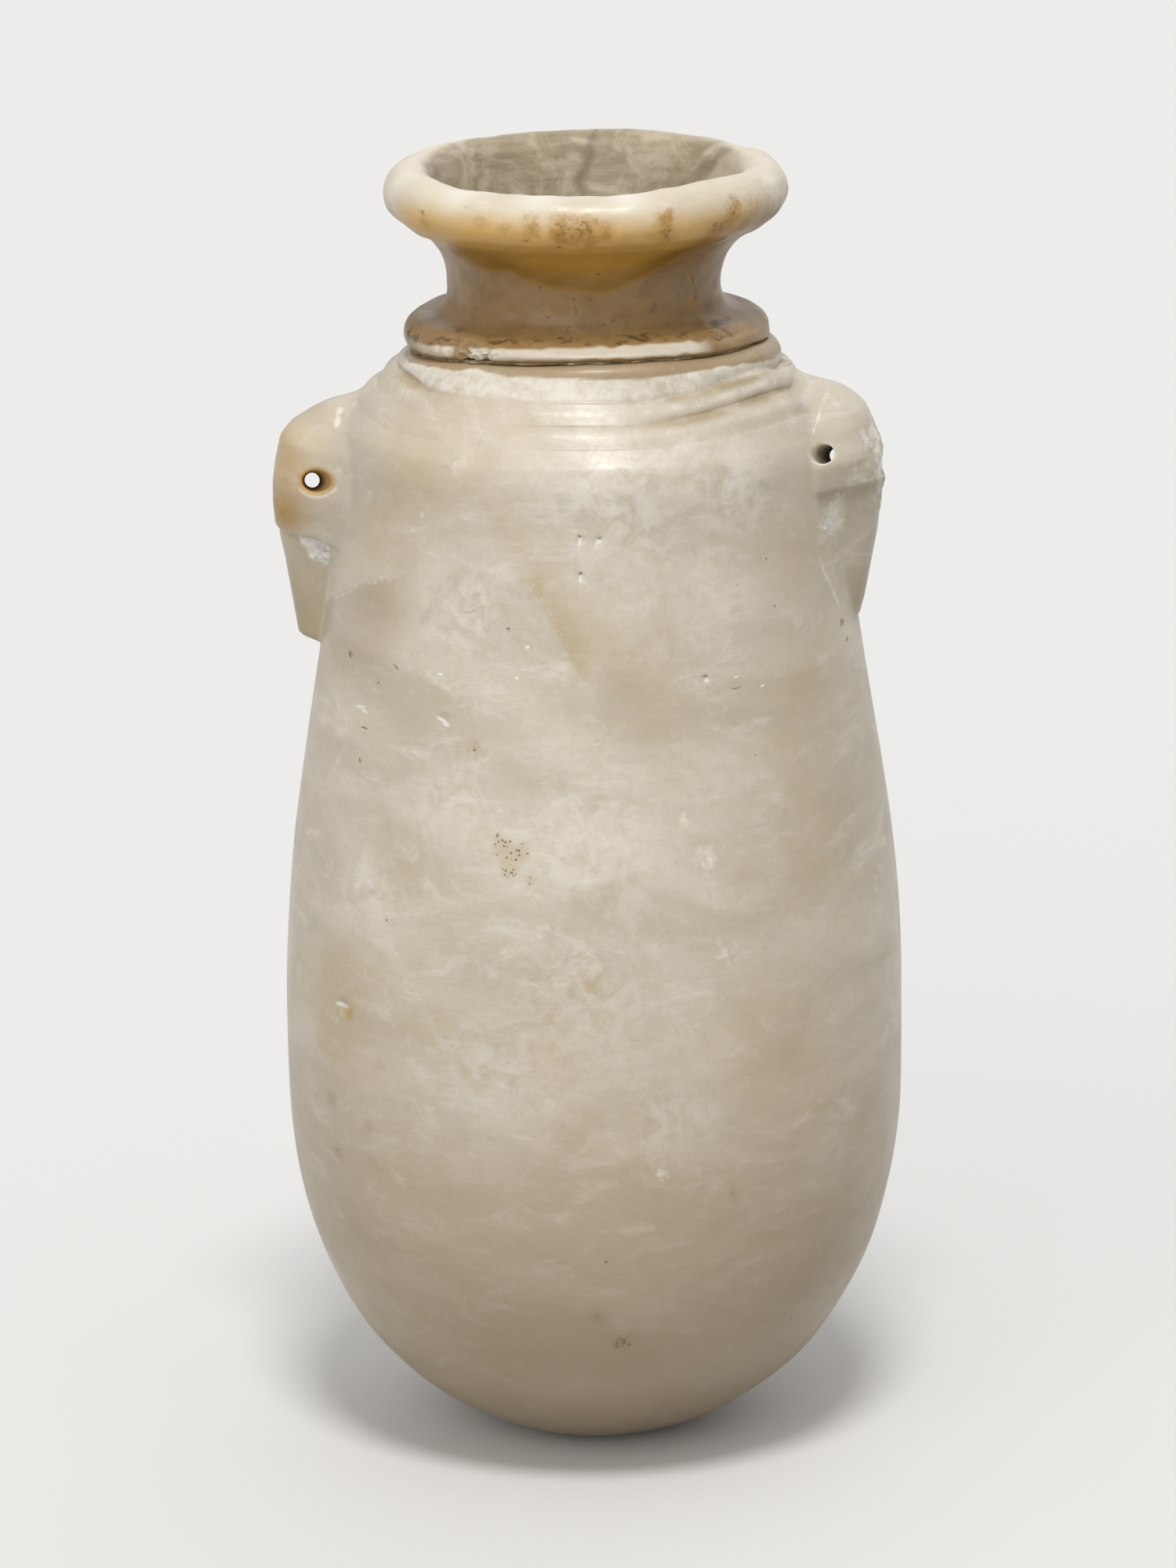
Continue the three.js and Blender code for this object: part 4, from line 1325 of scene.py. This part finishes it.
def neck_stone():
    shader = Shader("neck_stone")
    painted, ramp, times, noise = shader.painted, shader.ramp, shader.times, shader.noise
    clouded(shader)
    shader.cover(LIP_CREAM, 0.45)
    shaft = painted("shaft")
    # Brown shaft, partly painted shade under the lip
    shader.cover(NECK_BROWN, shaft, 0.92)
    shader.cover(UMBER, times(ramp(noise(7, 6, 0.66, 0.6), 0.42, 0.66), shaft), 0.4)
    shader.cover(DIRT, times(ramp(noise(2.4, 7, 0.72, 0.6), 0.56, 0.68), shaft), 0.6)
    streaks = noise(1.1, 5, 0.6, 0.2, shader.stretched((0.14, 0.14, 1)))
    inner = shader.mix(ramp(streaks, 0.3, 0.7, 0.5, 1), INNER_SHADE, INNER_STONE)
    inner = shader.mix(ramp(noise(8, 7, 0.68, 0.8), 0.42, 0.66, 0, 0.8), inner, INNER_PALE)
    inner = shader.mix(times(painted("light_band"), 0.7), inner, INNER_LIGHT)
    shader.cover(inner, painted("inner"))
    shader.cover(INNER_SHADE, painted("vein"), 0.8)
    # Painted glow of light through the lip
    shader.cover(GOLD, painted("gold"), 0.9)
    shader.cover(AMBER, painted("amber"), 0.95)
    shader.cover(OLIVE_AMBER, painted("olive"), 0.75)
    # Painted highlights on the lip and on the nose of the flange
    shader.cover(WHITE_STONE, painted("pale"), 0.8)
    stain = painted("stain")
    shader.cover(OCHRE, times(shader.speckled(stain, 4, 0.95, 1.5, 1.8), ramp(stain, 0, 0.5)), 0.85)
    shader.cover(UMBER, shader.speckled(stain, 1.1, 0.9, 1.08), 0.7)
    shader.cover(DIRT, shader.speckled(painted("dirt"), 0.9, 0.72, 0.92), 0.8)
    stone_relief(shader, 0.6)
    broken_faces(shader, painted("crystal"), shader.cells(FACET_SIZE))
    shader.cover(BROWN, shader.spots(NECK_SPECKS), 0.55)
    return worn_polish(shader, polish(shader), STONE_GLOW)


def mortar_material():
    shader = Shader("mortar")
    grain = shader.noise(1.2, 6, 0.65)
    shader.colour = shader.mix(shader.ramp(grain, 0.3, 0.5), DIRT, MORTAR)
    shader.bump(grain, 0.3)
    return shader.finish({"Roughness": 0.9})


def dressed(piece, node, material):
    piece.data.materials.clear()
    piece.data.materials.append(material)
    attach(piece, "root")
    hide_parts(node)


# Stage, lamps and camera
def floor():
    """A plain pale floor; only a part of its light is thrown back at the vase."""
    half = 6.0
    corners = [(-half, -half, 0), (half, -half, 0), (half, half, 0), (-half, half, 0)]
    mesh = bpy.data.meshes.new("floor")
    mesh.from_pydata(corners, [], [(0, 1, 2, 3)])
    plane = linked("floor", mesh)
    shader = Shader("floor")
    rays = shader.add("LightPath", {})
    seen = shader.math("MAXIMUM", rays["Is Camera Ray"], rays["Is Glossy Ray"])
    colour = shader.mix(seen, FLOOR_BOUNCE, STUDIO_GREY)
    shader.fill(shader.surface, {"Base Color": colour, "Roughness": 0.9})
    mesh.materials.append(shader.material)


def backdrop():
    """World light, with a plain backdrop colour for what the camera and reflections see."""
    world = bpy.data.worlds.new("studio")
    bpy.context.scene.world = world
    world.use_nodes = True
    tree = world.node_tree
    light = tree.nodes["Background"]
    light.inputs["Color"].default_value = (*linear(236, 236, 238), 1)
    light.inputs["Strength"].default_value = 0.56
    seen = tree.nodes.new("ShaderNodeBackground")
    seen.inputs["Color"].default_value = (*STUDIO_GREY, 1)
    rays = tree.nodes.new("ShaderNodeLightPath")
    chosen = tree.nodes.new("ShaderNodeMixShader")
    tree.links.new(rays.outputs["Is Camera Ray"], chosen.inputs[0])
    tree.links.new(light.outputs[0], chosen.inputs[1])
    tree.links.new(seen.outputs[0], chosen.inputs[2])
    tree.links.new(chosen.outputs[0], tree.nodes["World Output"].inputs["Surface"])


def direction(elevation, turn):
    """Unit vector from the vase to a place that high, turned that far from the front to the right."""
    up_angle, side_angle = math.radians(elevation), math.radians(turn)
    level = math.cos(up_angle)
    return Vector((math.sin(side_angle) * level, -math.cos(side_angle) * level, math.sin(up_angle)))


def lamp(name, elevation, turn, spread, strength):
    """Even light from far away; the spread makes its shadows soft."""
    data = bpy.data.lights.new(name, "SUN")
    data.energy = strength
    data.angle = math.radians(spread)
    light = linked(name, data)
    light.rotation_euler = (-direction(elevation, turn)).to_track_quat("-Z", "Y").to_euler()


def camera():
    """The photograph's view, fitted to the ellipses of the rim and the collar."""
    distance, elevation, turn, roll = 1400, 15, 5, 0.5
    aim_height, aim_right = 121.9, -0.9
    focal_pixels, image_height, sensor_height = 9691.7, 2000, 36.0
    side_angle, roll_angle = math.radians(turn), math.radians(roll)
    back = direction(elevation, turn)
    level_right = Vector((math.cos(side_angle), math.sin(side_angle), 0))
    level_up = back.cross(level_right)
    right = level_right * math.cos(roll_angle) - level_up * math.sin(roll_angle)
    up = level_right * math.sin(roll_angle) + level_up * math.cos(roll_angle)
    place = Vector((0, 0, aim_height)) + level_right * aim_right + back * distance
    data = bpy.data.cameras.new("camera")
    data.sensor_fit = "VERTICAL"
    data.sensor_height = sensor_height
    data.lens = focal_pixels * sensor_height / image_height
    view_camera = linked("camera", data)
    axes = Matrix((right, up, back)).transposed().to_4x4()
    view_camera.matrix_world = Matrix.Translation(place * MM) @ axes
    bpy.context.scene.camera = view_camera


dressed(vase_body(), "vessel_body", body_stone())
dressed(vase_neck(), "neck_and_rim", neck_stone())
dressed(vase_mortar(), "neck_bedding", mortar_material())
floor()
backdrop()
lamp("key", 66, 8, 14, 1.5)
lamp("fill", 18, -22, 60, 0.92)
lamp("back", 30, 170, 60, 0.35)
camera()
bpy.context.scene.view_settings.view_transform = "Standard"
